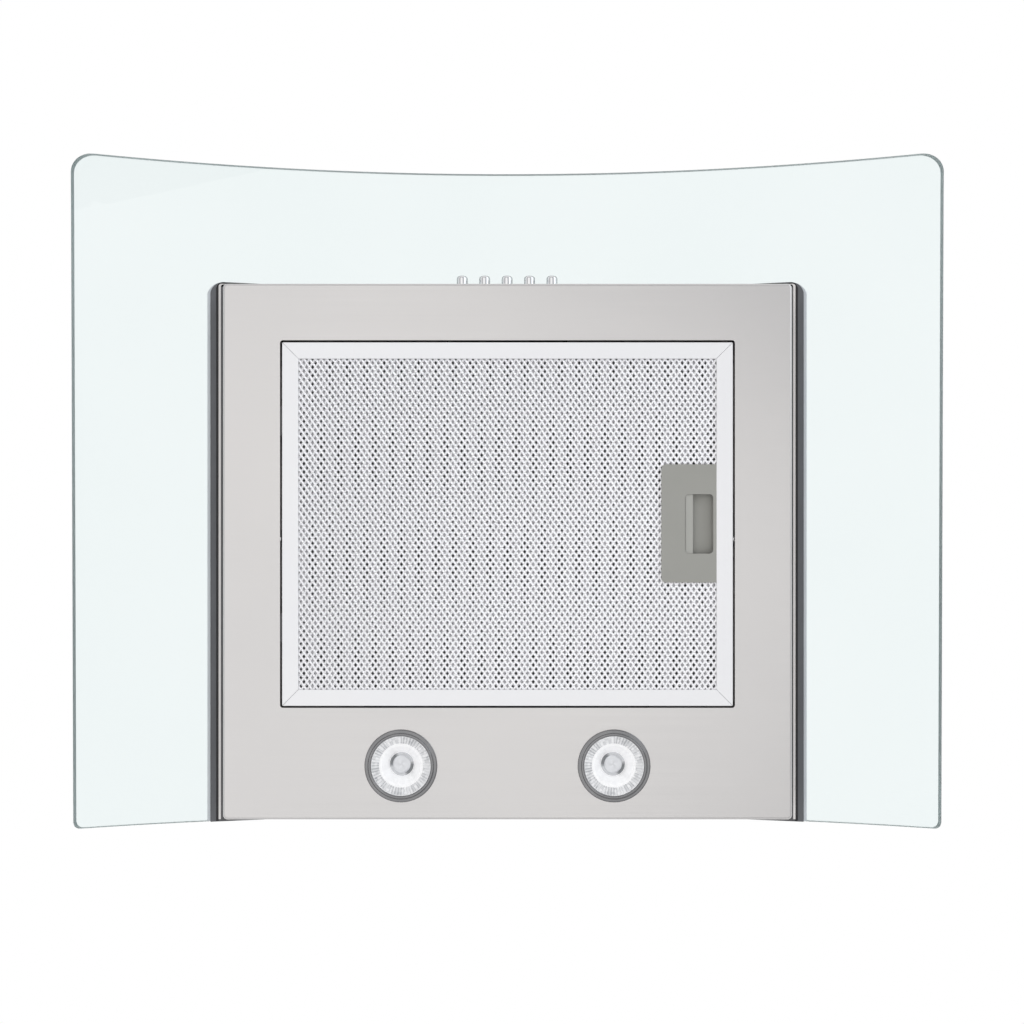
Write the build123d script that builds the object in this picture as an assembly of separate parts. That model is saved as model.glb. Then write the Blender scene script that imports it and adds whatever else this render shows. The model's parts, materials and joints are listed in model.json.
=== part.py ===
from build123d import *
import math
import os

# Curved glass chimney hood, 600 mm wide, hung on a wall.
# Frame: X across the wall, front is -Y, Z up, wall plane at Y = 0.
# The origin is the centre of the four wall-screw holes in the back plate.

# Glass canopy
GLASS_WIDTH = 600.0
GLASS_REAR_WIDTH = 597.0
GLASS_DEPTH = 466.0
GLASS_THICK = 6.0
GLASS_RADIUS = 914.0  # underside of the arch
GLASS_Z = -125.0  # underside at mid width
GLASS_FRONT_CORNER = 14.0
GLASS_REAR_CORNER = 4.5
NOTCH_HALF = 117.0
NOTCH_DEPTH = 238.0
NOTCH_CORNER = 10.0
CLAMP_BORE_R = 5.0
ARCH_CENTRE_Z = GLASS_Z - GLASS_RADIUS
ARCH_REACH = 40.0  # how far cutting cylinders pass both ends of the glass
ARCH_DROP = 90.0  # height of the plan prism below and above the glass
ARCH_RISE = 30.0
CUT = 8.0  # length of the drills through thin sheets

# Gasket and deck under the glass
GASKET_THICK = 2.0
GASKET_HALF = 209.6
GASKET_FRONT = -382.0
GASKET_BAND = 15.0
GASKET_CORNER = 9.0
GASKET_INNER_CORNER = 4.0
PAD_R = 11.0
PAD_BORE_R = 4.6
PAD_THICK = 1.8
SHEET = 1.2
DECK_HALF = 203.9
DECK_FRONT = -380.5
DECK_CORNER = 2.0
DECK_REAR = -1.8
DECK_TOP_RADIUS = GLASS_RADIUS - GASKET_THICK
DECK_LOW_RADIUS = DECK_TOP_RADIUS - SHEET
THROAT_HALF = 102.0
THROAT_FRONT = -222.0
THROAT_REAR = -12.0
THROAT_CORNER = 8.0
DECK_SCREW_R = 3.3

# Steel body under the glass
BODY_HALF = 192.5
BODY_FRONT = -372.1
BODY_REAR = -9.5
BODY_Z = GLASS_Z - 65.0  # underside panel
BODY_EDGE = 1.8
BODY_CORNER = 3.0
BODY_INNER_CORNER = 1.8
BODY_HEIGHT = 70.0  # before the walls are cut to the arch

# Grease filter
OPENING_HALF = 153.7
OPENING_FRONT = -333.6
OPENING_REAR = -85.2
OPENING_CORNER = 2.0
FILTER_HALF = 152.3
FILTER_FRONT = -332.2
FILTER_REAR = -86.5
FILTER_Z = BODY_Z + 0.3
FILTER_THICK = 9.0
FILTER_BAR = 11.0
FILTER_WALL = 0.8
MESH_THICK = 1.0
MESH_COLUMNS = 17
MESH_ROWS = 17
MESH_MARGIN = 4.0
MESH_STAGGER = 0.25  # of a column, left and right in turn
LOZENGE_X = 0.42  # half sizes as a share of the pitch
LOZENGE_Y = 0.84
LATCH_CLEAR = 2.0
LAYER_TUCK = 3.0  # how far the layers reach into the channel
LAYER_FIT = 0.1
MITRE_GAP = 0.15
MITRE_REACH = 40.0
TONGUE_SPACING = 140.0
TONGUE_OUT = 9.0
TONGUE_IN = 3.0
TONGUE_HALF = 10.0
TONGUE_THICK = 1.5
TONGUE_LOW = BODY_Z + SHEET + 0.25
TONGUE_FIT = 0.05

# Latch in the filter's right side
LATCH_LEFT = 104.1
LATCH_RIGHT = 141.3
LATCH_FRONT = -249.7
LATCH_REAR = -169.9
POCKET_LEFT = 120.1
POCKET_RIGHT = 139.1
POCKET_FRONT = -229.6
POCKET_REAR = -189.4
LATCH_TO_BAR = 12.0
LATCH_LIP = 1.4
LATCH_STEP = 1.6
LATCH_CORNER = 3.0
FACE_LOW = FILTER_Z + 0.1
FACE_HIGH = FILTER_Z + 0.85
CAVITY_LEFT = LATCH_LEFT + 5.0
CAVITY_SIDE = 6.2
CAVITY_TOP = FILTER_Z + 6.6
POCKET_CORNER = 2.7
SLIDE_LOW = FILTER_Z + 1.25
SLIDE_HIGH = FILTER_Z + 3.4
SLIDE_SIDE = 5.6
SLIDE_ARM = 5.2
SLIDE_BACK = 0.5
SLIDE_END = LATCH_RIGHT + 4.0
TAB_START = 0.3
TAB_THICK = 2.0
TAB_HIGH = SLIDE_HIGH + 2.6
BOLT_HALF = 8.0
BOLT_NOSE = FILTER_HALF + 1.0
BOLT_SLOT_HALF = 8.5
BOLT_SLOT_LOW = FILTER_Z + 1.0
BOLT_SLOT_HIGH = FILTER_Z + 3.7
BOLT_SLOT_REACH = 2.0
SPRING_LEFT = LATCH_LEFT + 5.5
SPRING_RIGHT = POCKET_LEFT - 0.2
SPRING_LOW = FILTER_Z + 1.3
SPRING_DEEP = 1.9
SPRING_STRIP = 0.5
SPRING_HALF = 6.0
SPRING_FOLDS = 5

# Lamps
LAMP_X = 72.0
LAMP_Y = -46.0
LAMP_RING_R = 24.6
LAMP_LENS_R = 20.1
LAMP_HOLE_R = 22.6
LAMP_LIP_R = LAMP_LENS_R + 0.8
LAMP_SEAT_R = LAMP_LENS_R + 1.0
LAMP_SEAT_Z = BODY_Z - 1.0
RING_BEVEL = 2.0
CAP_BEVEL = 0.8
CAP_SEAT_Z = BODY_Z + 8.55
BOWL_RIM = 1.0
LAMP_NECK_R = LAMP_HOLE_R - 0.3
LAMP_NECK_TOP = BODY_Z + 9.0
LAMP_FACE_Z = BODY_Z - 1.9
RING_EDGE_Z = BODY_Z - 0.6
LENS_BORE_R = 6.0
LENS_FLOOR = (8.4, BODY_Z + 8.6)  # radius, z along the dished face
LENS_BEND = (13.0, BODY_Z + 1.6)
LENS_RIM_Z = BODY_Z - 0.95
LENS_BACK = [(19.0, BODY_Z + 1.6), (14.5, BODY_Z + 3.8), (10.0, BODY_Z + 10.8)]
CAP_R = 8.1
CAP_STEM_R = 5.8
CAP_FACE_Z = BODY_Z + 7.2
CAP_BACK_Z = BODY_Z + 11.6
BOWL_MOUTH_Z = BODY_Z + 1.7
BOWL_SHOULDER_Z = BODY_Z + 24.0
BOWL_TOP_Z = BODY_Z + 30.0
BOWL_TOP_R = 14.0
BOWL_FLOOR_R = 7.0
BOWL_FLOOR_Z = BODY_Z + 22.0
CLIP_STRIP = 0.6
CLIP_HALF = 4.0
CLIP_R = 22.7
CLIP_ROOT_R = 20.95
CLIP_FOOT_R = 30.0
CLIP_LOW = LAMP_NECK_TOP - 0.3
CLIP_TOP = LAMP_NECK_TOP + 7.0
CLIP_FOOT_Z = BODY_Z + SHEET + 0.1

# Push buttons
BUTTON_COUNT = 5
BUTTON_PITCH = 15.75
BUTTON_R = 3.85
BUTTON_TIP = -385.0
BUTTON_Z = -157.0
BUTTON_HOLE_R = 4.25
BUTTON_SHOULDER_R = 5.2
BUTTON_SHOULDER = 1.5
BUTTON_PLAY = 0.3
STEM_R = 2.0
STEM_LENGTH = 17.0
STEM_BORE_R = 2.35
BUTTON_DOME = [(1.9, 0.35), (3.2, 1.3), (BUTTON_R, 2.8)]  # radius, distance behind the tip

# Switch bank and its saddle
SWITCH_FRONT = BODY_FRONT + SHEET + 7.0
SWITCH_HALF = 42.0
SWITCH_DEPTH = 26.0
SWITCH_HALF_HEIGHT = 9.0
TERMINAL_HALF = 2.4
TERMINAL_THICK = 0.8
TERMINAL_LENGTH = 7.0
SADDLE_HALF = 46.0
SADDLE_FOOT = 58.0
SADDLE_START = 4.0
SADDLE_END = 22.0

# Motor housing on the deck, inside the chimney
HOUSING_HALF = 114.0
HOUSING_FRONT = -234.0
HOUSING_TOP = 86.0
HOUSING_LOW = GLASS_Z - 20.0
HOUSING_FOOT = 12.0
FOOT_RISE = 10.0
OUTLET_HALF_X = 41.0
OUTLET_HALF_Y = 50.0
BACK_THICK = 1.5
WALL_HOLE_R = 4.5
WALL_HOLES_X = 160.0
WALL_HOLES_Z = 100.0
BOX_X = (82.0, 111.0)
BOX_Y = (-120.0, -62.0)
BOX_HIGH = 24.0
LID_HIGH = 3.0
LID_OVER = 1.0

# Fan
SHAFT_Y = -90.0
SHAFT_Z = -25.0
SCROLL_HALF = 44.0
IMPELLER_R = 70.0
IMPELLER_HALF = 36.0
BLADE_COUNT = 36
HUB_R = 13.0
HUB_BORE_R = 4.05
INLET_R = 52.0
MOTOR_R = 43.0
GROMMET_R = 54.0
OUTLET_Y = -138.0
VOLUTE_STEP = 8.0  # rise of the volute's radius, and of its centre, each quarter turn
VOLUTE_R = 80.0
VOLUTE_Y = 4.0
VOLUTE_Z = -4.0
MOUTH_LENGTH = 104.0
MOUTH_DEPTH = 6.0
INLET_CLEAR = 3.0
MOTOR_SIDE_R = 14.0
INLET_PROFILE = [(0, -5.0), (1.2, -5.0), (1.4, 0), (9.0, 0), (9.0, 2.0), (4.0, 3.0), (0, 0)]
BLADE_ROOT = 13.0
BLADE_FRONT = [(6.2, 1.4), (0.5, 5.6)]  # inset from the drum's radius, height
BLADE_BACK = [(0.5, 4.6), (5.8, 0.4)]
BLADE_ROOT_BACK = -0.9
DISC_THICK = 2.0
HUB_LENGTH = 22.0
SHAFT_R = 4.0
SHAFT_BORE_R = 4.06
SHAFT_X = (-98.0, -12.0)
MOTOR_X = (-98.0, -54.0)
BELL_R = 17.0
BELL_BORE_R = 17.3
BELL_FRONT = 6.0
BELL_REAR = 4.0
BRACKET_X = (-53.9, -52.0)
BRACKET_RING_R = 30.0
ARM_TURNS = (90, 210, 330)
ARM_MIDDLE = 42.0
ARM_LENGTH = 40.0
ARM_WIDTH = 14.0
GROMMET_BORE_R = 4.3
BUSH_NECK_R = 4.2
BUSH_PARTS = [(-48.0, 8.0, 7.9), (-54.5, BUSH_NECK_R, 5.2), (-56.0, 7.0, 4.0)]  # x, radius, length

# Run capacitor in the housing's front left corner
CAP_SPOT = (-88.0, -208.0)
CAP_CAN_R = 15.0
CAP_CAN_LOW = -70.0
CAP_CAN_HIGH = 62.0
CAP_STUD_R = 4.0
CAP_STUD_HIGH = 8.0
STRAP_R = 16.3
STRAP_BORE_R = 15.05
STRAP_LOW = -52.0
STRAP_HIGH = 14.0
STRAP_HALF = 8.0

# Duct collar and damper
COLLAR_R = 75.0
COLLAR_WALL = 1.5
COLLAR_HEIGHT = 62.0
COLLAR_PLATE = 2.0
COLLAR_PLATE_HALF = 80.0
LUG_HALF = 6.0
FLAP_R = 72.4
FLAP_PIN_OFFSET = 4.0
FLAP_Z = HOUSING_TOP + 12.0
PIN_R = 1.5
PIN_PLAY = 0.06
PIN_SHORT = 0.6
LUG_LOW = FLAP_Z - 3.0
LUG_THICK = 2.0
LUG_REACH = 4.0
LUG_ROOT = 0.5
FLAP_THICK = 1.6
FLAP_CLEAR = 2.4
KNUCKLE_X = 60.0
KNUCKLE_R = 3.2
KNUCKLE_LENGTH = 14.0
KNUCKLE_WEB = 3.0

# Chimney
CHIMNEY_HALF = 130.0
CHIMNEY_FRONT = -250.0
CHIMNEY_SHEET = 1.0
CHIMNEY_TOP = 300.0
CHIMNEY_GAP = 1.0
UPPER_BOTTOM = -112.0
UPPER_TOP = 318.0
CHIMNEY_SCREW_Y = -45.0
CHIMNEY_SCREW_Z = UPPER_TOP - 22.0
CHIMNEY_HOLE_R = 2.0
CHIMNEY_OUTER_BEND = 2.5
CHIMNEY_INNER_BEND = 1.5
LOWER_LIP = 13.0
UPPER_LIP = 10.0
CHIMNEY_FIT = 0.2
VENT_ROWS = 6
VENT_PITCH = 12.0
VENT_HIGH = 5.0
VENT_TOP = UPPER_TOP - 62.0
VENT_Y = (-200.0, -60.0)
BRACKET_LOW = UPPER_TOP - 38.0
BRACKET_HIGH = UPPER_TOP - 6.0
BRACKET_INSET = 11.0
BRACKET_FIT = 0.3
BRACKET_SHEET = 1.5
BRACKET_BACK = 2.0
BRACKET_STEP = 9.0
BRACKET_EAR = 60.0
BRACKET_HOLE_X = 60.0
BRACKET_HOLE_R = 3.0
EAR_SCREW_HEAD_R = 3.4
EAR_SCREW_HEAD = 0.8
EAR_SCREW_R = 1.9
EAR_SCREW_LENGTH = 6.0

# Mains cable gland in the housing's top
GLAND_X = 92.0
GLAND_Y = -30.0
GLAND_R = 8.0
GLAND_BORE = 3.6
GLAND_NUT_R = 12.0
GLAND_NUT = 5.0
GLAND_LOCK = 4.0
GLAND_CAP_R = 10.5
GLAND_CAP = 7.0
GLAND_NECK = 6.0
GLAND_DOME = 4.0
GLAND_DOME_R = (8.5, 5.5)
GLAND_BODY_LOW = 8.0
GLAND_BODY = 14.0
GLAND_PLAY = 0.05

# Screws
CLAMP_SCREW_R = 3.0
CLAMP_HEAD_R = 8.0
CLAMP_HEAD_HEIGHT = 4.4
CLAMP_BUSH_R = 9.5
CLAMP_BUSH_FLANGE = 1.5
BUSH_PLAY = 0.1
SCREW_R = 2.2
SCREW_HEAD_R = 4.2
SCREW_HEAD_HEIGHT = 2.2
SCREW_LENGTH = 8.0
SCREW_HOLE_R = 2.3
CLAMP_LENGTH = 19.5
CLAMP_SLEEVE_R = 4.8
CLAMP_SLEEVE = 5.0
CLAMP_PLAY = 0.02
CLAMP_SEAT_RADIUS = GLASS_RADIUS + GLASS_THICK + CLAMP_PLAY
NUT_R = 5.8
NUT_HIGH = 5.0
NUT_FLANGE_R = 7.5
NUT_FLANGE = 1.2
NUT_GAP = 0.05
HEAD_DOME = [(0.6, 1.0), (0.9, 0.75), (1.0, 0.4)]  # shares of the head's radius and height

# Where screws go: x, y
CLAMPS = [(side * 165.0, y) for side in (-1, 1) for y in (-350.0, -200.0, -40.0)]
HOUSING_FEET = [(side * 108.0, y) for side in (-1, 1) for y in (-205.0, -35.0)]
COLLAR_SCREWS = [(x, OUTLET_Y + y) for x in (-72.0, 72.0) for y in (-72.0, 72.0)]


def arch_cylinder(radius):
    """Solid cylinder about the arch's axis, which runs along Y past both ends of the glass."""
    place = Location((0, -GLASS_DEPTH / 2, ARCH_CENTRE_Z), (90, 0, 0))
    return place * Cylinder(radius, GLASS_DEPTH + 2 * ARCH_REACH)


def arched_sheet(outline, inner_radius, outer_radius):
    """The part of a plan outline that lies between two radii of the arch."""
    prism = extrude(Plane.XY.offset(GLASS_Z - ARCH_DROP) * outline, ARCH_DROP + ARCH_RISE)
    return prism & (arch_cylinder(outer_radius) - arch_cylinder(inner_radius))


def arch_place(x, y, radius):
    """Location at a radius of the arch, square to it, above the glass underside's point at x."""
    tilt = math.asin(x / GLASS_RADIUS)
    z = ARCH_CENTRE_Z + radius * math.cos(tilt)
    return Location((radius * math.sin(tilt), y, z), (0, math.degrees(tilt), 0))


def span_box(x0, x1, y0, y1, z0, z1):
    """Box between low and high corners."""
    centre = ((x0 + x1) / 2, (y0 + y1) / 2, (z0 + z1) / 2)
    return Location(centre) * Box(x1 - x0, y1 - y0, z1 - z0)


def rounded_plan(x0, x1, y0, y1, radius):
    """Rectangle in plan with all four corners rounded."""
    centre = ((x0 + x1) / 2, (y0 + y1) / 2)
    return Location((*centre, 0)) * RectangleRounded(x1 - x0, y1 - y0, radius)


def along_y(x, y_centre, z, radius, length):
    """Cylinder whose axis runs along Y."""
    return Location((x, y_centre, z), (90, 0, 0)) * Cylinder(radius, length)


def along_x(x_centre, y, z, radius, length):
    """Cylinder whose axis runs along X."""
    return Location((x_centre, y, z), (0, 90, 0)) * Cylinder(radius, length)


def disc(x, y, z_low, radius, height):
    """Upright cylinder standing on z_low."""
    return Location((x, y, z_low + height / 2)) * Cylinder(radius, height)


def group(solids):
    """One node made of several separate solids."""
    return Compound(children=list(solids))


def front_rounded(half, front, rear, radius):
    """Rectangle in plan with only its two front corners rounded."""
    pts = [
        (-half, rear),
        (-half, front + radius),
        (-half + radius, front),
        (half - radius, front),
        (half, front + radius),
        (half, rear),
    ]
    edges = [
        Line(pts[0], pts[1]),
        RadiusArc(pts[1], pts[2], -radius),
        Line(pts[2], pts[3]),
        RadiusArc(pts[3], pts[4], -radius),
        Line(pts[4], pts[5]),
        Line(pts[5], pts[0]),
    ]
    return make_face(edges)


def glass_canopy():
    """Arched pane, slightly narrower at the wall, notched for the motor housing."""
    half, rear_half = GLASS_WIDTH / 2, GLASS_REAR_WIDTH / 2
    pane = make_face(
        Polyline(
            (-half, -GLASS_DEPTH), (half, -GLASS_DEPTH), (rear_half, 0), (-rear_half, 0), close=True
        )
    )
    corners = pane.vertices().sort_by(Axis.Y)
    pane = fillet(corners[:2], GLASS_FRONT_CORNER)
    pane = fillet(pane.vertices().sort_by(Axis.Y)[-2:], GLASS_REAR_CORNER)
    notch = rounded_plan(-NOTCH_HALF, NOTCH_HALF, -NOTCH_DEPTH, NOTCH_DEPTH, NOTCH_CORNER)
    glass = arched_sheet(pane - notch, GLASS_RADIUS, GLASS_RADIUS + GLASS_THICK)
    for x, y in CLAMPS:
        glass -= arch_place(x, y, GLASS_RADIUS + GLASS_THICK / 2) * Cylinder(CLAMP_BORE_R, 2 * CUT)
    return glass


def glass_gasket():
    """Black seal between deck and glass, open at the notch."""
    outer = front_rounded(GASKET_HALF, GASKET_FRONT, 0, GASKET_CORNER)
    inner_half = GASKET_HALF - GASKET_BAND
    front = GASKET_FRONT + GASKET_BAND
    inner = rounded_plan(-inner_half, inner_half, front, -GASKET_BAND, GASKET_INNER_CORNER)
    gap = Rectangle(2 * NOTCH_HALF, 4 * GASKET_BAND)
    return arched_sheet(outer - inner - gap, DECK_TOP_RADIUS, GLASS_RADIUS)


def clamp_pads():
    """Rubber washers that carry the glass at each clamp screw."""
    pads = []
    for x, y in CLAMPS:
        place = arch_place(x, y, DECK_TOP_RADIUS + GASKET_THICK / 2)
        pads.append(place * (Cylinder(PAD_R, PAD_THICK) - Cylinder(PAD_BORE_R, CUT)))
    return group(pads)


def body_deck():
    """Arched steel deck with the flange under the glass and the fan's throat."""
    plan = front_rounded(DECK_HALF, DECK_FRONT, DECK_REAR, DECK_CORNER)
    plan -= rounded_plan(-THROAT_HALF, THROAT_HALF, THROAT_FRONT, THROAT_REAR, THROAT_CORNER)
    deck = arched_sheet(plan, DECK_LOW_RADIUS, DECK_TOP_RADIUS)
    for x, y in CLAMPS:
        deck -= arch_place(x, y, DECK_TOP_RADIUS) * Cylinder(DECK_SCREW_R, CUT)
    for x, y in HOUSING_FEET:
        deck -= arch_place(x, y, DECK_TOP_RADIUS) * Cylinder(SCREW_HOLE_R, CUT)
    return deck


def body_shell():
    """Folded steel tray: underside panel and four walls up to the arched deck."""
    plan = rounded_plan(-BODY_HALF, BODY_HALF, BODY_FRONT, BODY_REAR, BODY_CORNER)
    outer = extrude(Plane.XY.offset(BODY_Z) * plan, BODY_HEIGHT)
    outer = fillet(outer.edges().group_by(Axis.Z)[0], BODY_EDGE)
    half = BODY_HALF - SHEET
    inner = rounded_plan(-half, half, BODY_FRONT + SHEET, BODY_REAR - SHEET, BODY_INNER_CORNER)
    inner = extrude(Plane.XY.offset(BODY_Z + SHEET) * inner, BODY_HEIGHT)
    tray = (outer - inner) & arch_cylinder(DECK_LOW_RADIUS)
    opening = rounded_plan(
        -OPENING_HALF, OPENING_HALF, OPENING_FRONT, OPENING_REAR, OPENING_CORNER
    )
    tray -= extrude(Plane.XY.offset(BODY_Z - CUT / 2) * opening, CUT)
    for side in (-1, 1):
        tray -= disc(side * LAMP_X, LAMP_Y, BODY_Z - CUT / 2, LAMP_HOLE_R, CUT)
    for x in button_xs():
        tray -= along_y(x, BODY_FRONT, BUTTON_Z, BUTTON_HOLE_R, CUT)
    return tray


def filter_frame():
    """Channel frame of the grease filter, four bars mitred at the corners."""
    high = FILTER_Z + FILTER_THICK
    outer = span_box(-FILTER_HALF, FILTER_HALF, FILTER_FRONT, FILTER_REAR, FILTER_Z, high)
    window = span_box(
        -FILTER_HALF + FILTER_BAR,
        FILTER_HALF - FILTER_BAR,
        FILTER_FRONT + FILTER_BAR,
        FILTER_REAR - FILTER_BAR,
        FILTER_Z - CUT,
        high + CUT,
    )
    channel = span_box(
        -FILTER_HALF + FILTER_WALL,
        FILTER_HALF - FILTER_WALL,
        FILTER_FRONT + FILTER_WALL,
        FILTER_REAR - FILTER_WALL,
        FILTER_Z + FILTER_WALL,
        high - FILTER_WALL,
    )
    frame = outer - window - channel
    for x in (-FILTER_HALF, FILTER_HALF):
        for y in (FILTER_FRONT, FILTER_REAR):
            turn = 45 if (x > 0) == (y > FILTER_FRONT) else -45
            frame -= Location((x, y, FILTER_Z), (0, 0, turn)) * Box(MITRE_REACH, MITRE_GAP, MITRE_REACH)
    frame -= latch_bolt_space()
    for y in tongue_ys():
        frame -= tongue_box(y, TONGUE_FIT)
    return frame


def filter_layer(low, high, holed):
    """One layer of the filter pack, cut out round the latch."""
    reach = FILTER_BAR - LAYER_TUCK
    x = FILTER_HALF - reach
    y0, y1 = FILTER_FRONT + reach, FILTER_REAR - reach
    plan = Location((0, (y0 + y1) / 2)) * Rectangle(2 * x, y1 - y0)
    if holed:
        plan -= mesh_holes(x, y0, y1)
    plan -= latch_cutout()
    return extrude(Plane.XY.offset(low) * plan, high - low)


def mesh_holes(x, y0, y1):
    """Staggered lozenges of the expanded metal, drawn coarser than the real mesh."""
    step_x = 2 * (x - MESH_MARGIN) / MESH_COLUMNS
    step_y = (y1 - y0 - 2 * MESH_MARGIN) / (MESH_ROWS + 1)
    half_x, half_y = step_x * LOZENGE_X, step_y * LOZENGE_Y
    lozenge = make_face(
        Polyline((half_x, 0), (0, half_y), (-half_x, 0), (0, -half_y), close=True)
    )
    places = []
    for row in range(MESH_ROWS):
        shift = MESH_STAGGER if row % 2 else -MESH_STAGGER
        for column in range(MESH_COLUMNS):
            cx = (column - (MESH_COLUMNS - 1) / 2 + shift) * step_x
            cy = y0 + MESH_MARGIN + (row + 1) * step_y
            clear_y = half_y + LATCH_CLEAR
            near_x = LATCH_LEFT - half_x - LATCH_CLEAR < cx
            near_y = LATCH_FRONT - clear_y < cy < LATCH_REAR + clear_y
            if not (near_x and near_y):
                places.append(Location((cx, cy)))
    return Sketch() + [place * lozenge for place in places]


def latch_cutout():
    """Plan opening in the filter pack for the latch body."""
    right = LATCH_RIGHT + LATCH_TO_BAR
    centre = ((LATCH_LEFT + right) / 2, (LATCH_FRONT + LATCH_REAR) / 2)
    length = LATCH_REAR - LATCH_FRONT - 2 * LATCH_LIP
    return Location(centre) * Rectangle(right - LATCH_LEFT - 2 * LATCH_LIP, length)


def tongue_ys():
    middle = (FILTER_FRONT + FILTER_REAR) / 2
    return [middle - TONGUE_SPACING / 2, middle + TONGUE_SPACING / 2]


def tongue_box(y, grow=0.0):
    """Flat tongue through the left bar, resting on the panel beside the opening."""
    half = TONGUE_HALF + grow
    return span_box(
        -FILTER_HALF - TONGUE_OUT,
        -FILTER_HALF + TONGUE_IN,
        y - half,
        y + half,
        TONGUE_LOW - grow,
        TONGUE_LOW + TONGUE_THICK + grow,
    )


def filter_tongues():
    return group(tongue_box(y) for y in tongue_ys())


def latch_bolt_space():
    """Slot in the right bar that the latch bolt slides in."""
    middle = (POCKET_FRONT + POCKET_REAR) / 2
    return span_box(
        FILTER_HALF - BOLT_SLOT_REACH,
        FILTER_HALF + BOLT_SLOT_REACH,
        middle - BOLT_SLOT_HALF,
        middle + BOLT_SLOT_HALF,
        BOLT_SLOT_LOW,
        BOLT_SLOT_HIGH,
    )


def latch_plate():
    """Moulded latch body: face plate with a finger pocket, hollow for the slide."""
    right = LATCH_RIGHT + LATCH_TO_BAR
    plan = rounded_plan(LATCH_LEFT, right, LATCH_FRONT, LATCH_REAR, LATCH_CORNER)
    face = extrude(Plane.XY.offset(FACE_LOW) * plan, FACE_HIGH - FACE_LOW)
    face &= span_box(LATCH_LEFT, LATCH_RIGHT, LATCH_FRONT, LATCH_REAR, FACE_LOW, FACE_HIGH)
    body = span_box(
        LATCH_LEFT + LATCH_STEP,
        LATCH_RIGHT,
        LATCH_FRONT + LATCH_STEP,
        LATCH_REAR - LATCH_STEP,
        FACE_HIGH,
        FILTER_Z + FILTER_THICK - FILTER_WALL,
    )
    cavity = span_box(
        CAVITY_LEFT,
        LATCH_RIGHT + CUT,
        POCKET_FRONT - CAVITY_SIDE,
        POCKET_REAR + CAVITY_SIDE,
        FACE_HIGH,
        CAVITY_TOP,
    )
    pocket = rounded_plan(POCKET_LEFT, POCKET_RIGHT, POCKET_FRONT, POCKET_REAR, POCKET_CORNER)
    pocket = extrude(Plane.XY.offset(FACE_LOW - SHEET) * pocket, FACE_HIGH - FACE_LOW + SHEET)
    return face + body - cavity - pocket


def latch_slide():
    """Finger tab, two side arms and the bolt, one moulding that slides along X."""
    y0, y1 = POCKET_FRONT - SLIDE_SIDE, POCKET_REAR + SLIDE_SIDE
    middle = (y0 + y1) / 2
    left = POCKET_LEFT + TAB_START
    loop = span_box(left, SLIDE_END, y0, y1, SLIDE_LOW, SLIDE_HIGH)
    loop -= span_box(
        left + SLIDE_ARM,
        POCKET_RIGHT + SLIDE_BACK,
        y0 + SLIDE_ARM,
        y1 - SLIDE_ARM,
        SLIDE_LOW - CUT,
        SLIDE_HIGH + CUT,
    )
    tab = span_box(
        left, left + TAB_THICK, y0 + SLIDE_ARM, y1 - SLIDE_ARM, SLIDE_HIGH, TAB_HIGH
    )
    bolt = span_box(
        SLIDE_END, BOLT_NOSE, middle - BOLT_HALF, middle + BOLT_HALF, SLIDE_LOW, SLIDE_HIGH
    )
    return loop + tab + bolt


def latch_spring():
    """Zigzag spring strip that pushes the slide outwards."""
    middle = (POCKET_FRONT + POCKET_REAR) / 2
    step = (SPRING_RIGHT - SPRING_LEFT) / SPRING_FOLDS
    length = math.hypot(step, 2 * SPRING_HALF) + SPRING_STRIP
    lean = math.degrees(math.atan2(2 * SPRING_HALF, step))
    strip = Sketch()
    for i in range(SPRING_FOLDS):
        spot = Location((SPRING_LEFT + (i + 0.5) * step, middle), (0, 0, lean if i % 2 else -lean))
        strip += spot * Rectangle(length, SPRING_STRIP)
    return extrude(Plane.XY.offset(SPRING_LOW) * strip, SPRING_DEEP)


def revolve_profile(points, x, y):
    """Solid of revolution about an upright axis at x, y, from (radius, z) points."""
    profile = make_face(Plane.XZ * Polyline(*points, close=True))
    return Location((x, y, 0)) * revolve(profile, Axis.Z)


def lamp_bezel(side):
    """Ring with a neck through the panel and a lip that holds the lens."""
    points = [
        (LAMP_LENS_R, LAMP_FACE_Z),
        (LAMP_RING_R - RING_BEVEL, LAMP_FACE_Z),
        (LAMP_RING_R, RING_EDGE_Z),
        (LAMP_RING_R, BODY_Z),
        (LAMP_NECK_R, BODY_Z),
        (LAMP_NECK_R, LAMP_NECK_TOP),
        (LAMP_SEAT_R, LAMP_NECK_TOP),
        (LAMP_SEAT_R, LAMP_SEAT_Z),
        (LAMP_LENS_R, LAMP_SEAT_Z),
    ]
    return revolve_profile(points, side * LAMP_X, LAMP_Y)


def lamp_lens(side):
    """Dished lens held behind the bezel's lip, with the cap at its bottom."""
    points = [
        (LENS_BORE_R, LENS_FLOOR[1]),
        LENS_FLOOR,
        LENS_BEND,
        (LAMP_LIP_R, LENS_RIM_Z),
        (LAMP_LIP_R, LENS_BACK[0][1]),
        *LENS_BACK,
        (LENS_BORE_R, LENS_BACK[-1][1]),
    ]
    return revolve_profile(points, side * LAMP_X, LAMP_Y)


def lamp_cap(side):
    """Round cap at the bottom of the lens."""
    points = [
        (0, CAP_FACE_Z),
        (CAP_R - CAP_BEVEL, CAP_FACE_Z),
        (CAP_R, CAP_FACE_Z + CAP_BEVEL),
        (CAP_R, CAP_SEAT_Z),
        (CAP_STEM_R, CAP_SEAT_Z),
        (CAP_STEM_R, CAP_BACK_Z),
        (0, CAP_BACK_Z),
    ]
    return revolve_profile(points, side * LAMP_X, LAMP_Y)


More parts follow.
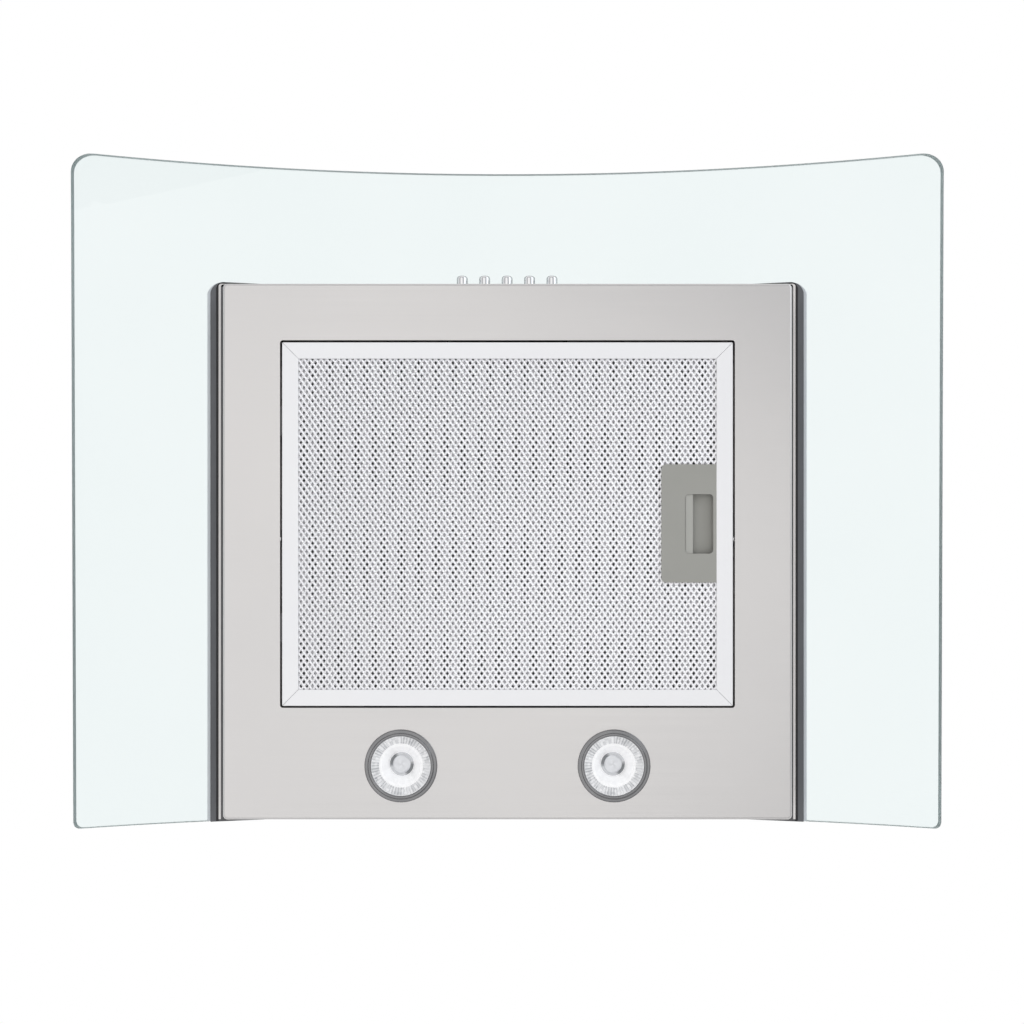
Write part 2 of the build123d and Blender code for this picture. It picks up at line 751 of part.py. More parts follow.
def lamp_housing(side):
    """Cast heat sink with the reflector bowl inside."""
    points = [
        (LAMP_LIP_R, BOWL_MOUTH_Z),
        (LAMP_LIP_R, BOWL_SHOULDER_Z),
        (BOWL_TOP_R, BOWL_TOP_Z),
        (0, BOWL_TOP_Z),
        (0, BOWL_FLOOR_Z),
        (BOWL_FLOOR_R, BOWL_FLOOR_Z),
        (LAMP_LENS_R - BOWL_RIM, BOWL_MOUTH_Z),
    ]
    return revolve_profile(points, side * LAMP_X, LAMP_Y)


def lamp_clips(side):
    """Two sprung blades that hold the lamp up against the panel."""
    top = CLIP_TOP - CLIP_STRIP
    foot_top = CLIP_LOW + CLIP_STRIP
    foot_end = CLIP_FOOT_R + CLIP_STRIP
    blades = []
    for turn in (0, 180):
        blade = span_box(CLIP_R, CLIP_R + CLIP_STRIP, -CLIP_HALF, CLIP_HALF, CLIP_LOW, CLIP_TOP)
        blade += span_box(CLIP_R, foot_end, -CLIP_HALF, CLIP_HALF, CLIP_LOW, foot_top)
        blade += span_box(CLIP_FOOT_R, foot_end, -CLIP_HALF, CLIP_HALF, CLIP_FOOT_Z, foot_top)
        blade += span_box(CLIP_ROOT_R, CLIP_R, -CLIP_HALF, CLIP_HALF, top, CLIP_TOP)
        blades.append(Location((side * LAMP_X, LAMP_Y, 0), (0, 0, turn)) * blade)
    return group(blades)


def button_xs():
    return [(i - (BUTTON_COUNT - 1) / 2) * BUTTON_PITCH for i in range(BUTTON_COUNT)]


def push_button(x):
    """Domed button with a shoulder behind the front wall and a thin stem."""
    shoulder = BODY_FRONT + SHEET + BUTTON_PLAY
    stem_end = BODY_FRONT + SHEET + STEM_LENGTH
    points = [
        (0, BUTTON_TIP),
        *((radius, BUTTON_TIP + back) for radius, back in BUTTON_DOME),
        (BUTTON_R, shoulder),
        (BUTTON_SHOULDER_R, shoulder),
        (BUTTON_SHOULDER_R, shoulder + BUTTON_SHOULDER),
        (STEM_R, shoulder + BUTTON_SHOULDER),
        (STEM_R, stem_end),
        (0, stem_end),
    ]
    profile = make_face(Polyline(*points, close=True))
    return Location((x, 0, BUTTON_Z)) * revolve(profile, Axis.Y)


def switch_block():
    """Closed switch bank with a hole for each stem and a terminal behind it."""
    rear = SWITCH_FRONT + SWITCH_DEPTH
    low, high = BUTTON_Z - SWITCH_HALF_HEIGHT, BUTTON_Z + SWITCH_HALF_HEIGHT
    block = span_box(-SWITCH_HALF, SWITCH_HALF, SWITCH_FRONT, rear, low, high)
    for x in button_xs():
        block -= along_y(x, SWITCH_FRONT, BUTTON_Z, STEM_BORE_R, 4 * CUT)
        block += span_box(
            x - TERMINAL_HALF,
            x + TERMINAL_HALF,
            rear,
            rear + TERMINAL_LENGTH,
            BUTTON_Z - TERMINAL_THICK / 2,
            BUTTON_Z + TERMINAL_THICK / 2,
        )
    return block


def switch_bracket():
    """Folded saddle that holds the switch bank to the tray floor."""
    y0, y1 = SWITCH_FRONT + SADDLE_START, SWITCH_FRONT + SADDLE_END
    floor = BODY_Z + SHEET
    low = BUTTON_Z - SWITCH_HALF_HEIGHT
    saddle = span_box(-SADDLE_HALF, SADDLE_HALF, y0, y1, low - SHEET, low)
    for side in (-1, 1):
        x0, x1 = sorted((side * SADDLE_HALF, side * (SADDLE_HALF - SHEET)))
        saddle += span_box(x0, x1, y0, y1, floor, low)
        x0, x1 = sorted((side * SADDLE_HALF, side * SADDLE_FOOT))
        saddle += span_box(x0, x1, y0, y1, floor, floor + SHEET)
    return saddle


def housing_front():
    """Front wall of the fan's cover, cut to the arch of the deck."""
    top = HOUSING_TOP - SHEET
    rear = HOUSING_FRONT + SHEET
    wall = span_box(-HOUSING_HALF, HOUSING_HALF, HOUSING_FRONT, rear, HOUSING_LOW, top)
    return wall - arch_cylinder(DECK_TOP_RADIUS)


def housing_sides():
    """Side walls of the cover, each with a foot that is screwed to the deck."""
    y0, y1 = HOUSING_FRONT + SHEET, -BACK_THICK
    walls = []
    for side in (-1, 1):
        x0, x1 = sorted((side * HOUSING_HALF, side * (HOUSING_HALF - SHEET)))
        wall = span_box(x0, x1, y0, y1, HOUSING_LOW, HOUSING_TOP - SHEET)
        x0, x1 = sorted((side * HOUSING_HALF, side * (HOUSING_HALF - HOUSING_FOOT)))
        foot = span_box(x0, x1, y0, y1, HOUSING_LOW, GLASS_Z + FOOT_RISE)
        wall += foot & arch_cylinder(DECK_TOP_RADIUS + SHEET)
        wall -= arch_cylinder(DECK_TOP_RADIUS)
        for x, y in HOUSING_FEET:
            wall -= arch_place(x, y, DECK_TOP_RADIUS) * Cylinder(SCREW_HOLE_R, CUT)
        walls.append(wall)
    return group(walls)


def housing_top():
    """Top of the cover, open over the fan's outlet."""
    low = HOUSING_TOP - SHEET
    top = span_box(-HOUSING_HALF, HOUSING_HALF, HOUSING_FRONT, -BACK_THICK, low, HOUSING_TOP)
    y0, y1 = OUTLET_Y - OUTLET_HALF_Y, OUTLET_Y + OUTLET_HALF_Y
    top -= span_box(-OUTLET_HALF_X, OUTLET_HALF_X, y0, y1, low - CUT, HOUSING_TOP + CUT)
    top -= disc(GLAND_X, GLAND_Y, low - CUT / 2, GLAND_R, CUT)
    for x, y in COLLAR_SCREWS:
        top -= disc(x, y, low - CUT / 2, SCREW_HOLE_R, CUT)
    return top


def back_plate():
    """Rear wall of the housing, with the four wall-screw holes."""
    plate = span_box(-HOUSING_HALF, HOUSING_HALF, -BACK_THICK, 0, HOUSING_LOW, HOUSING_TOP)
    plate -= arch_cylinder(DECK_TOP_RADIUS)
    for x in (-WALL_HOLES_X / 2, WALL_HOLES_X / 2):
        for z in (-WALL_HOLES_Z / 2, WALL_HOLES_Z / 2):
            plate -= along_y(x, 0, z, WALL_HOLE_R, CUT)
    return plate


def scroll_outline(grow):
    """Volute in the YZ plane: three quarter arcs of rising radius, then a straight outlet."""
    step = VOLUTE_STEP
    r1 = VOLUTE_R + grow
    r2 = r1 + step
    r3 = r2 + step
    y1, z1 = VOLUTE_Y, VOLUTE_Z
    y2, z2 = y1 - step, z1
    y3, z3 = y2, z2 + step
    top = HOUSING_TOP - SHEET - SHAFT_Z
    cutoff = (y1 + grow, z1 + math.sqrt(r1 * r1 - grow * grow))
    rear = (y1 + r1, z1)
    low = (y2, z2 - r2)
    front = (y3 - r3, z3)
    root = math.sqrt(0.5)
    edges = [
        Line((y1 + grow, top), cutoff),
        ThreePointArc(cutoff, (y1 + r1 * root, z1 + r1 * root), rear),
        ThreePointArc(rear, (y2 + r2 * root, z2 - r2 * root), low),
        ThreePointArc(low, (y3 - r3 * root, z3 - r3 * root), front),
        Line(front, (y3 - r3, top)),
        Line((y3 - r3, top), (y1 + grow, top)),
    ]
    return make_face(edges)


def along_shaft(face, x0, x1):
    """Extrude a face drawn in (Y, Z) about the shaft, from x0 to x1."""
    plane = Plane(origin=(x0, SHAFT_Y, SHAFT_Z), x_dir=(0, 1, 0), z_dir=(1, 0, 0))
    return extrude(plane * face, x1 - x0)


def fan_scroll():
    """Volute casing: wrap and two cheeks, open at the top, inlet on the right."""
    wall = SHEET
    casing = along_shaft(scroll_outline(wall), -SCROLL_HALF, SCROLL_HALF)
    hollow = along_shaft(scroll_outline(0.0), -SCROLL_HALF + wall, SCROLL_HALF - wall)
    rear = SHAFT_Y + VOLUTE_Y
    mouth = span_box(
        -SCROLL_HALF + wall,
        SCROLL_HALF - wall,
        rear - MOUTH_LENGTH,
        rear,
        HOUSING_TOP - MOUTH_DEPTH,
        HOUSING_TOP,
    )
    casing = casing - hollow - mouth
    casing -= along_x(SCROLL_HALF, SHAFT_Y, SHAFT_Z, INLET_R + INLET_CLEAR, CUT)
    return casing - along_x(-SCROLL_HALF, SHAFT_Y, SHAFT_Z, MOTOR_SIDE_R, CUT)


def inlet_ring():
    """Bell mouth that leads the air into the impeller's eye."""
    points = [(INLET_R + out, SCROLL_HALF + along) for out, along in INLET_PROFILE]
    profile = make_face(Plane.XZ * Polyline(*points, close=True))
    ring = revolve(profile, Axis.Z)
    return Location((0, SHAFT_Y, SHAFT_Z), (0, 90, 0)) * ring


def impeller():
    """Drum of forward-curved blades between a back disc and a front ring."""
    root_r = IMPELLER_R - BLADE_ROOT
    front = [(root_r, 0), *((IMPELLER_R - inset, high) for inset, high in BLADE_FRONT)]
    back = [*((IMPELLER_R - inset, high) for inset, high in BLADE_BACK), (root_r, BLADE_ROOT_BACK)]
    blade = make_face(Polyline(*front, *back, close=True))
    turns = [i * 360 / BLADE_COUNT for i in range(BLADE_COUNT)]
    blades = [Location((0, 0), (0, 0, turn)) * blade for turn in turns]
    bore = Circle(HUB_BORE_R)
    low, high = -IMPELLER_HALF, IMPELLER_HALF
    drum = along_shaft(Sketch() + blades, low, high)
    drum += along_shaft(Circle(IMPELLER_R) - bore, low, low + DISC_THICK)
    drum += along_shaft(Circle(HUB_R) - bore, low, low + HUB_LENGTH)
    front_ring = Circle(IMPELLER_R) - Circle(root_r - 1)
    return drum + along_shaft(front_ring, high - DISC_THICK, high)


def span_x(x0, x1, y, z, radius):
    """Cylinder along X between two ends."""
    return along_x((x0 + x1) / 2, y, z, radius, x1 - x0)


def motor_shaft():
    return span_x(*SHAFT_X, SHAFT_Y, SHAFT_Z, SHAFT_R)


def fan_motor():
    """Capacitor motor: rolled can with end bells and a bore for the shaft."""
    rear, front = MOTOR_X
    can = span_x(rear, front, SHAFT_Y, SHAFT_Z, MOTOR_R)
    can += span_x(front, front + BELL_FRONT, SHAFT_Y, SHAFT_Z, BELL_R)
    can += span_x(rear - BELL_REAR, rear, SHAFT_Y, SHAFT_Z, BELL_R)
    return can - span_x(rear - MOTOR_R, front + MOTOR_R, SHAFT_Y, SHAFT_Z, SHAFT_BORE_R)


def motor_bracket():
    """Three arms from the scroll's cheek to the motor's front bell."""
    face = Circle(BRACKET_RING_R)
    for turn in ARM_TURNS:
        arm = Location((ARM_MIDDLE, 0)) * Rectangle(ARM_LENGTH, ARM_WIDTH)
        face += Location((0, 0), (0, 0, turn)) * arm
    face -= Circle(BELL_BORE_R)
    for turn in ARM_TURNS:
        face -= Location((0, 0), (0, 0, turn)) * (Location((GROMMET_R, 0)) * Circle(GROMMET_BORE_R))
    return along_shaft(face, *BRACKET_X)


def motor_grommets():
    """Rubber bushes between the bracket arms and the scroll."""
    bushes = []
    for turn in ARM_TURNS:
        angle = math.radians(turn)
        y = SHAFT_Y + GROMMET_R * math.cos(angle)
        z = SHAFT_Z + GROMMET_R * math.sin(angle)
        bush = Part()
        for x, radius, length in BUSH_PARTS:
            bush += along_x(x, y, z, radius, length)
        bushes.append(bush)
    return group(bushes)


def run_capacitor():
    """Round capacitor standing in the housing's front left corner."""
    can = disc(*CAP_SPOT, CAP_CAN_LOW, CAP_CAN_R, CAP_CAN_HIGH)
    return can + disc(*CAP_SPOT, CAP_CAN_LOW + CAP_CAN_HIGH, CAP_STUD_R, CAP_STUD_HIGH)


def capacitor_clip():
    """Sheet saddle that holds the capacitor to the housing's front wall."""
    x, y = CAP_SPOT
    high = STRAP_LOW + STRAP_HIGH
    rear = y - CAP_CAN_R
    strap = disc(x, y, STRAP_LOW, STRAP_R, STRAP_HIGH)
    strap += span_box(
        x - STRAP_HALF, x + STRAP_HALF, HOUSING_FRONT + SHEET, rear, STRAP_LOW, high
    )
    return strap - disc(x, y, STRAP_LOW - CUT, STRAP_BORE_R, STRAP_HIGH + 2 * CUT)


def hexagon(low, radius, height):
    """Upright hexagonal prism about the gland's axis."""
    plan = Location((GLAND_X, GLAND_Y)) * RegularPolygon(radius, 6)
    return extrude(Plane.XY.offset(low) * plan, height)


def cable_gland():
    """Mains inlet gland through the housing's top."""
    cap_low = HOUSING_TOP + GLAND_NECK
    dome_low = cap_low + GLAND_CAP
    body_low = HOUSING_TOP - GLAND_BODY_LOW
    gland = disc(GLAND_X, GLAND_Y, body_low, GLAND_R - GLAND_PLAY, GLAND_BODY)
    gland += hexagon(HOUSING_TOP, GLAND_NUT_R, GLAND_NUT)
    gland += hexagon(cap_low, GLAND_CAP_R, GLAND_CAP)
    gland += hexagon(HOUSING_TOP - SHEET - GLAND_LOCK, GLAND_NUT_R, GLAND_LOCK)
    dome = Cone(*GLAND_DOME_R, GLAND_DOME)
    gland += Location((GLAND_X, GLAND_Y, dome_low + GLAND_DOME / 2)) * dome
    length = dome_low + GLAND_DOME - body_low + 2 * CUT
    return gland - disc(GLAND_X, GLAND_Y, body_low - CUT, GLAND_BORE, length)


def terminal_box():
    """Junction box on the housing's right side, beside the gland."""
    (x0, x1), (y0, y1) = BOX_X, BOX_Y
    lid_low = HOUSING_TOP + BOX_HIGH
    box = span_box(x0, x1, y0, y1, HOUSING_TOP, lid_low)
    over = LID_OVER
    return box + span_box(x0 - over, x1 + over, y0 - over, y1 + over, lid_low, lid_low + LID_HIGH)


def collar_plate():
    """Square sheet plate that carries the spigot over the fan's outlet."""
    half = COLLAR_PLATE_HALF
    top = HOUSING_TOP + COLLAR_PLATE
    plate = span_box(-half, half, OUTLET_Y - half, OUTLET_Y + half, HOUSING_TOP, top)
    plate -= disc(0, OUTLET_Y, HOUSING_TOP - CUT / 2, COLLAR_R - COLLAR_WALL, CUT)
    for x, y in COLLAR_SCREWS:
        plate -= disc(x, y, HOUSING_TOP - CUT / 2, SCREW_HOLE_R, CUT)
    return plate


def duct_collar():
    """Moulded spigot for the duct, standing on its plate, with stop lugs for the flaps."""
    low = HOUSING_TOP + COLLAR_PLATE
    bore_r = COLLAR_R - COLLAR_WALL
    tube = disc(0, OUTLET_Y, low, COLLAR_R, COLLAR_HEIGHT - COLLAR_PLATE)
    tube -= disc(0, OUTLET_Y, low - CUT, bore_r, COLLAR_HEIGHT + 2 * CUT)
    for side in (-1, 1):
        pin_y = OUTLET_Y + side * FLAP_PIN_OFFSET
        tube -= along_x(0, pin_y, FLAP_Z, PIN_R, 4 * COLLAR_R)
        root, nose = bore_r + LUG_ROOT, bore_r - LUG_REACH
        y0, y1 = sorted((OUTLET_Y + side * root, OUTLET_Y + side * nose))
        tube += span_box(-LUG_HALF, LUG_HALF, y0, y1, LUG_LOW, LUG_LOW + LUG_THICK)
    return tube


def damper_flap(side):
    """Half-round flap with two knuckles on its pin."""
    pin_y = OUTLET_Y + side * FLAP_PIN_OFFSET
    low, high = FLAP_Z - FLAP_THICK / 2, FLAP_Z + FLAP_THICK / 2
    plate = disc(0, OUTLET_Y, low, FLAP_R, FLAP_THICK)
    y0, y1 = sorted((pin_y + side * FLAP_CLEAR, OUTLET_Y + side * 2 * FLAP_R))
    plate &= span_box(-2 * FLAP_R, 2 * FLAP_R, y0, y1, low - CUT, high + CUT)
    y0, y1 = sorted((pin_y, pin_y + side * KNUCKLE_WEB))
    half = KNUCKLE_LENGTH / 2
    for x in (-KNUCKLE_X, KNUCKLE_X):
        plate += along_x(x, pin_y, FLAP_Z, KNUCKLE_R, KNUCKLE_LENGTH)
        plate += span_box(x - half, x + half, y0, y1, low, high)
    return plate - along_x(0, pin_y, FLAP_Z, PIN_R + PIN_PLAY, 4 * FLAP_R)


def damper_pins():
    pins = []
    for side in (-1, 1):
        y = OUTLET_Y + side * FLAP_PIN_OFFSET
        pins.append(along_x(0, y, FLAP_Z, PIN_R, 2 * COLLAR_R - PIN_SHORT))
    return group(pins)


def round_screw(head_r, head_height, shank_r, length):
    """Screw with a low domed head standing on z = 0 and its shank below."""
    points = [
        (0, head_height),
        *((head_r * out, head_height * up) for out, up in HEAD_DOME),
        (head_r, 0),
        (shank_r, 0),
        (shank_r, -length),
        (0, -length),
    ]
    return revolve_profile(points, 0, 0)


def sheet_screw(place):
    """Small screw through two sheets, pointing down from place."""
    return place * round_screw(SCREW_HEAD_R, SCREW_HEAD_HEIGHT, SCREW_R, SCREW_LENGTH)


def collar_screws():
    """Four screws that hold the collar to the housing's top."""
    top = HOUSING_TOP + COLLAR_PLATE
    return group(sheet_screw(Location((x, y, top))) for x, y in COLLAR_SCREWS)


def glass_bushes():
    """Nylon top-hat bushes between each clamp screw and the glass."""
    bushes = []
    for x, y in CLAMPS:
        place = arch_place(x, y, CLAMP_SEAT_RADIUS)
        flange = disc(0, 0, 0, CLAMP_BUSH_R, CLAMP_BUSH_FLANGE)
        sleeve = disc(0, 0, -CLAMP_SLEEVE, CLAMP_SLEEVE_R, CLAMP_SLEEVE)
        bushes.append(place * (flange + sleeve - Cylinder(CLAMP_SCREW_R + BUSH_PLAY, 2 * CLAMP_LENGTH)))
    return group(bushes)


def glass_screws():
    """Domed clamp screws through the glass into the deck's nuts."""
    screws = []
    for x, y in CLAMPS:
        place = arch_place(x, y, CLAMP_SEAT_RADIUS + CLAMP_BUSH_FLANGE)
        screw = round_screw(CLAMP_HEAD_R, CLAMP_HEAD_HEIGHT, CLAMP_SCREW_R, CLAMP_LENGTH)
        screws.append(place * screw)
    return group(screws)


def glass_nuts():
    """Flanged nuts under the deck."""
    nuts = []
    for x, y in CLAMPS:
        place = arch_place(x, y, DECK_LOW_RADIUS - NUT_GAP)
        nut = extrude(RegularPolygon(NUT_R, 6), -NUT_HIGH)
        nut += disc(0, 0, -NUT_FLANGE, NUT_FLANGE_R, NUT_FLANGE)
        nuts.append(place * (nut - Cylinder(CLAMP_SCREW_R + CLAMP_PLAY, 2 * CLAMP_LENGTH)))
    return group(nuts)


def housing_screws():
    """Screws from the housing's feet into the deck."""
    foot_top = DECK_TOP_RADIUS + SHEET
    return group(sheet_screw(arch_place(x, y, foot_top)) for x, y in HOUSING_FEET)


def chimney_channel(half, front, rear, sheet, lip, low, high):
    """Three-sided folded sheet, with narrow return lips along the wall."""
    outer = span_box(-half, half, front, rear, low, high)
    bend = [e for e in outer.edges().filter_by(Axis.Z) if e.center().Y < front + 1]
    outer = fillet(bend, CHIMNEY_OUTER_BEND)
    low, high = low - CUT, high + CUT
    inner = span_box(-half + sheet, half - sheet, front + sheet, rear - sheet, low, high)
    bend = [e for e in inner.edges().filter_by(Axis.Z) if e.center().Y < front + sheet + 1]
    inner = fillet(bend, CHIMNEY_INNER_BEND)
    slot = span_box(-half + lip, half - lip, rear - 2 * sheet, rear + CUT, low, high)
    return outer - inner - slot


def lower_chimney():
    """Lower flue cover, its foot cut to the arch of the glass."""
    cover = chimney_channel(
        CHIMNEY_HALF, CHIMNEY_FRONT, 0, CHIMNEY_SHEET, LOWER_LIP, HOUSING_LOW, CHIMNEY_TOP
    )
    return cover - arch_cylinder(GLASS_RADIUS + GLASS_THICK + CHIMNEY_FIT)


def upper_chimney():
    """Upper flue cover, nested in the lower one, with vent slots near its top."""
    inset = CHIMNEY_SHEET + CHIMNEY_GAP
    cover = chimney_channel(
        CHIMNEY_HALF - inset,
        CHIMNEY_FRONT + inset,
        -inset,
        CHIMNEY_SHEET,
        UPPER_LIP,
        UPPER_BOTTOM,
        UPPER_TOP,
    )
    for row in range(VENT_ROWS):
        z = VENT_TOP - row * VENT_PITCH
        cover -= span_box(-2 * CHIMNEY_HALF, 2 * CHIMNEY_HALF, *VENT_Y, z, z + VENT_HIGH)
    screw_line = along_x(0, CHIMNEY_SCREW_Y, CHIMNEY_SCREW_Z, CHIMNEY_HOLE_R, 4 * CHIMNEY_HALF)
    return cover - screw_line


def chimney_bracket():
    """Wall bracket inside the upper chimney's top, with two side ears."""
    half = CHIMNEY_HALF - 2 * CHIMNEY_SHEET - CHIMNEY_GAP - BRACKET_FIT
    low, high, sheet = BRACKET_LOW, BRACKET_HIGH, BRACKET_SHEET
    web = half - BRACKET_INSET
    bracket = span_box(-web, web, -BRACKET_BACK, 0, low, high)
    for side in (-1, 1):
        x0, x1 = sorted((side * web, side * (web - sheet)))
        bracket += span_box(x0, x1, -BRACKET_STEP, -sheet / 3, low, high)
        x0, x1 = sorted((side * (web - sheet), side * half))
        bracket += span_box(x0, x1, -BRACKET_STEP, sheet - BRACKET_STEP, low, high)
        x0, x1 = sorted((side * (half - sheet), side * half))
        bracket += span_box(x0, x1, -BRACKET_EAR, sheet - BRACKET_STEP, low, high)
        bracket -= along_x(side * half, CHIMNEY_SCREW_Y, CHIMNEY_SCREW_Z, CHIMNEY_HOLE_R, CUT)
    for x in (-BRACKET_HOLE_X, BRACKET_HOLE_X):
        bracket -= along_y(x, 0, (low + high) / 2, BRACKET_HOLE_R, 2 * CUT)
    return bracket


def chimney_screws():
    """Screws through the upper chimney's sides into the bracket's ears."""
    half = CHIMNEY_HALF - CHIMNEY_SHEET - CHIMNEY_GAP
    y, z = CHIMNEY_SCREW_Y, CHIMNEY_SCREW_Z
    screws = []
    for side in (-1, 1):
        head_x = side * (half + EAR_SCREW_HEAD / 2)
        shank_x = side * (half - EAR_SCREW_LENGTH / 2)
        head = along_x(head_x, y, z, EAR_SCREW_HEAD_R, EAR_SCREW_HEAD)
        shank = along_x(shank_x, y, z, EAR_SCREW_R, EAR_SCREW_LENGTH)
        screws.append(head + shank)
    return group(screws)


NODES = {
    "glass_canopy": glass_canopy,
    "glass_gasket": glass_gasket,
    "glass_pads": clamp_pads,
    "glass_bushes": glass_bushes,
    "glass_screws": glass_screws,
    "glass_nuts": glass_nuts,
    "body_deck": body_deck,
    "body_shell": body_shell,
    "filter_frame": filter_frame,
    "filter_tongues": filter_tongues,
    "latch_plate": latch_plate,
    "latch_slide": latch_slide,
    "latch_spring": latch_spring,
    "switch_block": switch_block,
    "switch_bracket": switch_bracket,
    "housing_front": housing_front,
    "housing_sides": housing_sides,
    "housing_top": housing_top,
    "back_plate": back_plate,
    "housing_screws": housing_screws,
    "fan_scroll": fan_scroll,
    "inlet_ring": inlet_ring,
    "impeller": impeller,
    "motor_shaft": motor_shaft,
    "fan_motor": fan_motor,
    "motor_bracket": motor_bracket,
    "motor_grommets": motor_grommets,
    "run_capacitor": run_capacitor,
    "capacitor_clip": capacitor_clip,
    "cable_gland": cable_gland,
    "terminal_box": terminal_box,
    "collar_plate": collar_plate,
    "duct_collar": duct_collar,
    "collar_screws": collar_screws,
    "damper_pins": damper_pins,
    "lower_chimney": lower_chimney,
    "upper_chimney": upper_chimney,
    "chimney_bracket": chimney_bracket,
    "chimney_screws": chimney_screws,
}


def build():
    parts = {name: make() for name, make in NODES.items()}
    low = FILTER_Z + FILTER_WALL + LAYER_FIT
    high = FILTER_Z + FILTER_THICK - FILTER_WALL - LAYER_FIT
    parts["filter_mesh_lower"] = filter_layer(low, low + MESH_THICK, True)
    parts["filter_wool"] = filter_layer(low + MESH_THICK, high - MESH_THICK, False)
    parts["filter_mesh_upper"] = filter_layer(high - MESH_THICK, high, False)
    for side, name in ((-1, "left"), (1, "right")):
        parts["lamp_bezel_" + name] = lamp_bezel(side)
        parts["lamp_lens_" + name] = lamp_lens(side)
        parts["lamp_cap_" + name] = lamp_cap(side)
        parts["lamp_housing_" + name] = lamp_housing(side)
        parts["lamp_clips_" + name] = lamp_clips(side)
    for side, name in ((-1, "front"), (1, "rear")):
        parts["damper_flap_" + name] = damper_flap(side)
    for number, x in enumerate(button_xs(), 1):
        parts[f"button_{number}"] = push_button(x)
    return parts


os.makedirs("parts", exist_ok=True)
for node, shape in build().items():
    export_step(shape, f"parts/{node}.step")
    print(node, len(shape.solids()), round(shape.volume))
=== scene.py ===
import json
import math

import bmesh
import bpy
import numpy as np
from mathutils import Matrix, Vector


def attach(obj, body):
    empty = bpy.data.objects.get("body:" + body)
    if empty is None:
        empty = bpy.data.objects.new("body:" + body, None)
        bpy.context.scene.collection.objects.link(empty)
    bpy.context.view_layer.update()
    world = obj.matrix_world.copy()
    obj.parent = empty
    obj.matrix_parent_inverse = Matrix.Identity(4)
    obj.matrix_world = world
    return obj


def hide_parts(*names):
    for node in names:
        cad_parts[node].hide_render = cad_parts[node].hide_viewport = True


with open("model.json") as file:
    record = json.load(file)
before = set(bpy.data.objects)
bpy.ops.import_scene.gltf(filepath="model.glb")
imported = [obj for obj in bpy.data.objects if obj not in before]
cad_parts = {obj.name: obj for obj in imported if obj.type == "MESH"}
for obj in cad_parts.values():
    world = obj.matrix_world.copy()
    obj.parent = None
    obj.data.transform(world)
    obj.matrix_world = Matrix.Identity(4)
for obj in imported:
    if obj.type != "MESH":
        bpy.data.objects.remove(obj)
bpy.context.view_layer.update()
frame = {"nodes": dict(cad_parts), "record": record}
print("frame loaded:", len(frame["nodes"]), "nodes")

mm = 0.001
scene = bpy.context.scene

# The arch of the glass, as in the CAD: X across, front is -Y, Z up
arch = {
    "radius": 914.0,  # underside of the glass
    "centreZ": -1039.0,
    "glassThick": 6.0,
    "gasketThick": 2.0,
}


# Mesh object from points in millimetres and faces
def meshObject(name, points, faces, merge=True):
    mesh = bpy.data.meshes.new(name)
    mesh.from_pydata((np.asarray(points, float) * mm).tolist(), [], faces)
    if merge:
        work = bmesh.new()
        work.from_mesh(mesh)
        bmesh.ops.remove_doubles(work, verts=work.verts, dist=1e-6)
        bmesh.ops.dissolve_degenerate(work, edges=work.edges, dist=1e-7)
        bmesh.ops.recalc_face_normals(work, faces=work.faces)
        work.to_mesh(mesh)
        work.free()
    obj = bpy.data.objects.new(name, mesh)
    scene.collection.objects.link(obj)
    return obj


# Quads of a grid of rows x columns whose first index is offset by start
def gridQuads(rows, columns, closeRows=False, closeColumns=False, start=0):
    r = np.arange(rows if closeRows else rows - 1)
    c = np.arange(columns if closeColumns else columns - 1)
    rr, cc = np.meshgrid(r, c, indexing="ij")
    r2, c2 = (rr + 1) % rows, (cc + 1) % columns
    corners = [(rr, cc), (r2, cc), (r2, c2), (rr, c2)]
    quads = np.stack([row * columns + column for row, column in corners], -1)
    return (quads.reshape(-1, 4) + start).tolist()


# Surface of revolution: P(a, t) = centre + r(t) (cos a, sin a) + h(t) axis
def lathe(name, profile, centre, segments=96, axis="Z", ripple=None):
    prof = np.asarray(profile, float)
    angle = np.linspace(0, 2 * math.pi, segments, endpoint=False)
    radius = np.broadcast_to(prof[:, 0], (segments, len(prof))).copy()
    height = np.broadcast_to(prof[:, 1], (segments, len(prof))).copy()
    if ripple is not None:
        radius, height = ripple(angle[:, None], radius, height)
    u, v = radius * np.cos(angle)[:, None], radius * np.sin(angle)[:, None]
    if axis == "Z":
        points = np.stack([u, v, height], -1)
    else:
        points = np.stack([u, height, v], -1)
    points = points.reshape(-1, 3) + np.asarray(centre, float)
    faces = gridQuads(segments, len(prof), closeRows=True)
    return meshObject(name, points, faces)


# Rounds every corner of a closed (u, v) outline with arcs of up to the given radius
def roundedOutline(corners, radius, steps=4):
    pts = np.asarray(corners, float)
    before, after = np.roll(pts, 1, 0) - pts, np.roll(pts, -1, 0) - pts
    lenB = np.linalg.norm(before, axis=1, keepdims=True)
    lenA = np.linalg.norm(after, axis=1, keepdims=True)
    cut = np.minimum(radius, 0.45 * np.minimum(lenB, lenA))
    start, end = pts + before / lenB * cut, pts + after / lenA * cut
    t = np.linspace(0, 1, steps + 1)[None, :, None]
    arcs = (1 - t) ** 2 * start[:, None] + 2 * t * (1 - t) * pts[:, None] + t**2 * end[:, None]
    return arcs.reshape(-1, 2)


# Plan points lifted onto the arch of radius R + height: z = z0 + sqrt((R + height)^2 - x^2)
def onArch(plan, height):
    x, y = plan[..., 0], plan[..., 1]
    return np.stack([x, y, arch["centreZ"] + np.sqrt((arch["radius"] + height) ** 2 - x**2)], -1)


def shadeBySharpness(mesh, degrees):
    mesh.shade_smooth()
    mesh.set_sharp_from_angle(angle=math.radians(degrees))


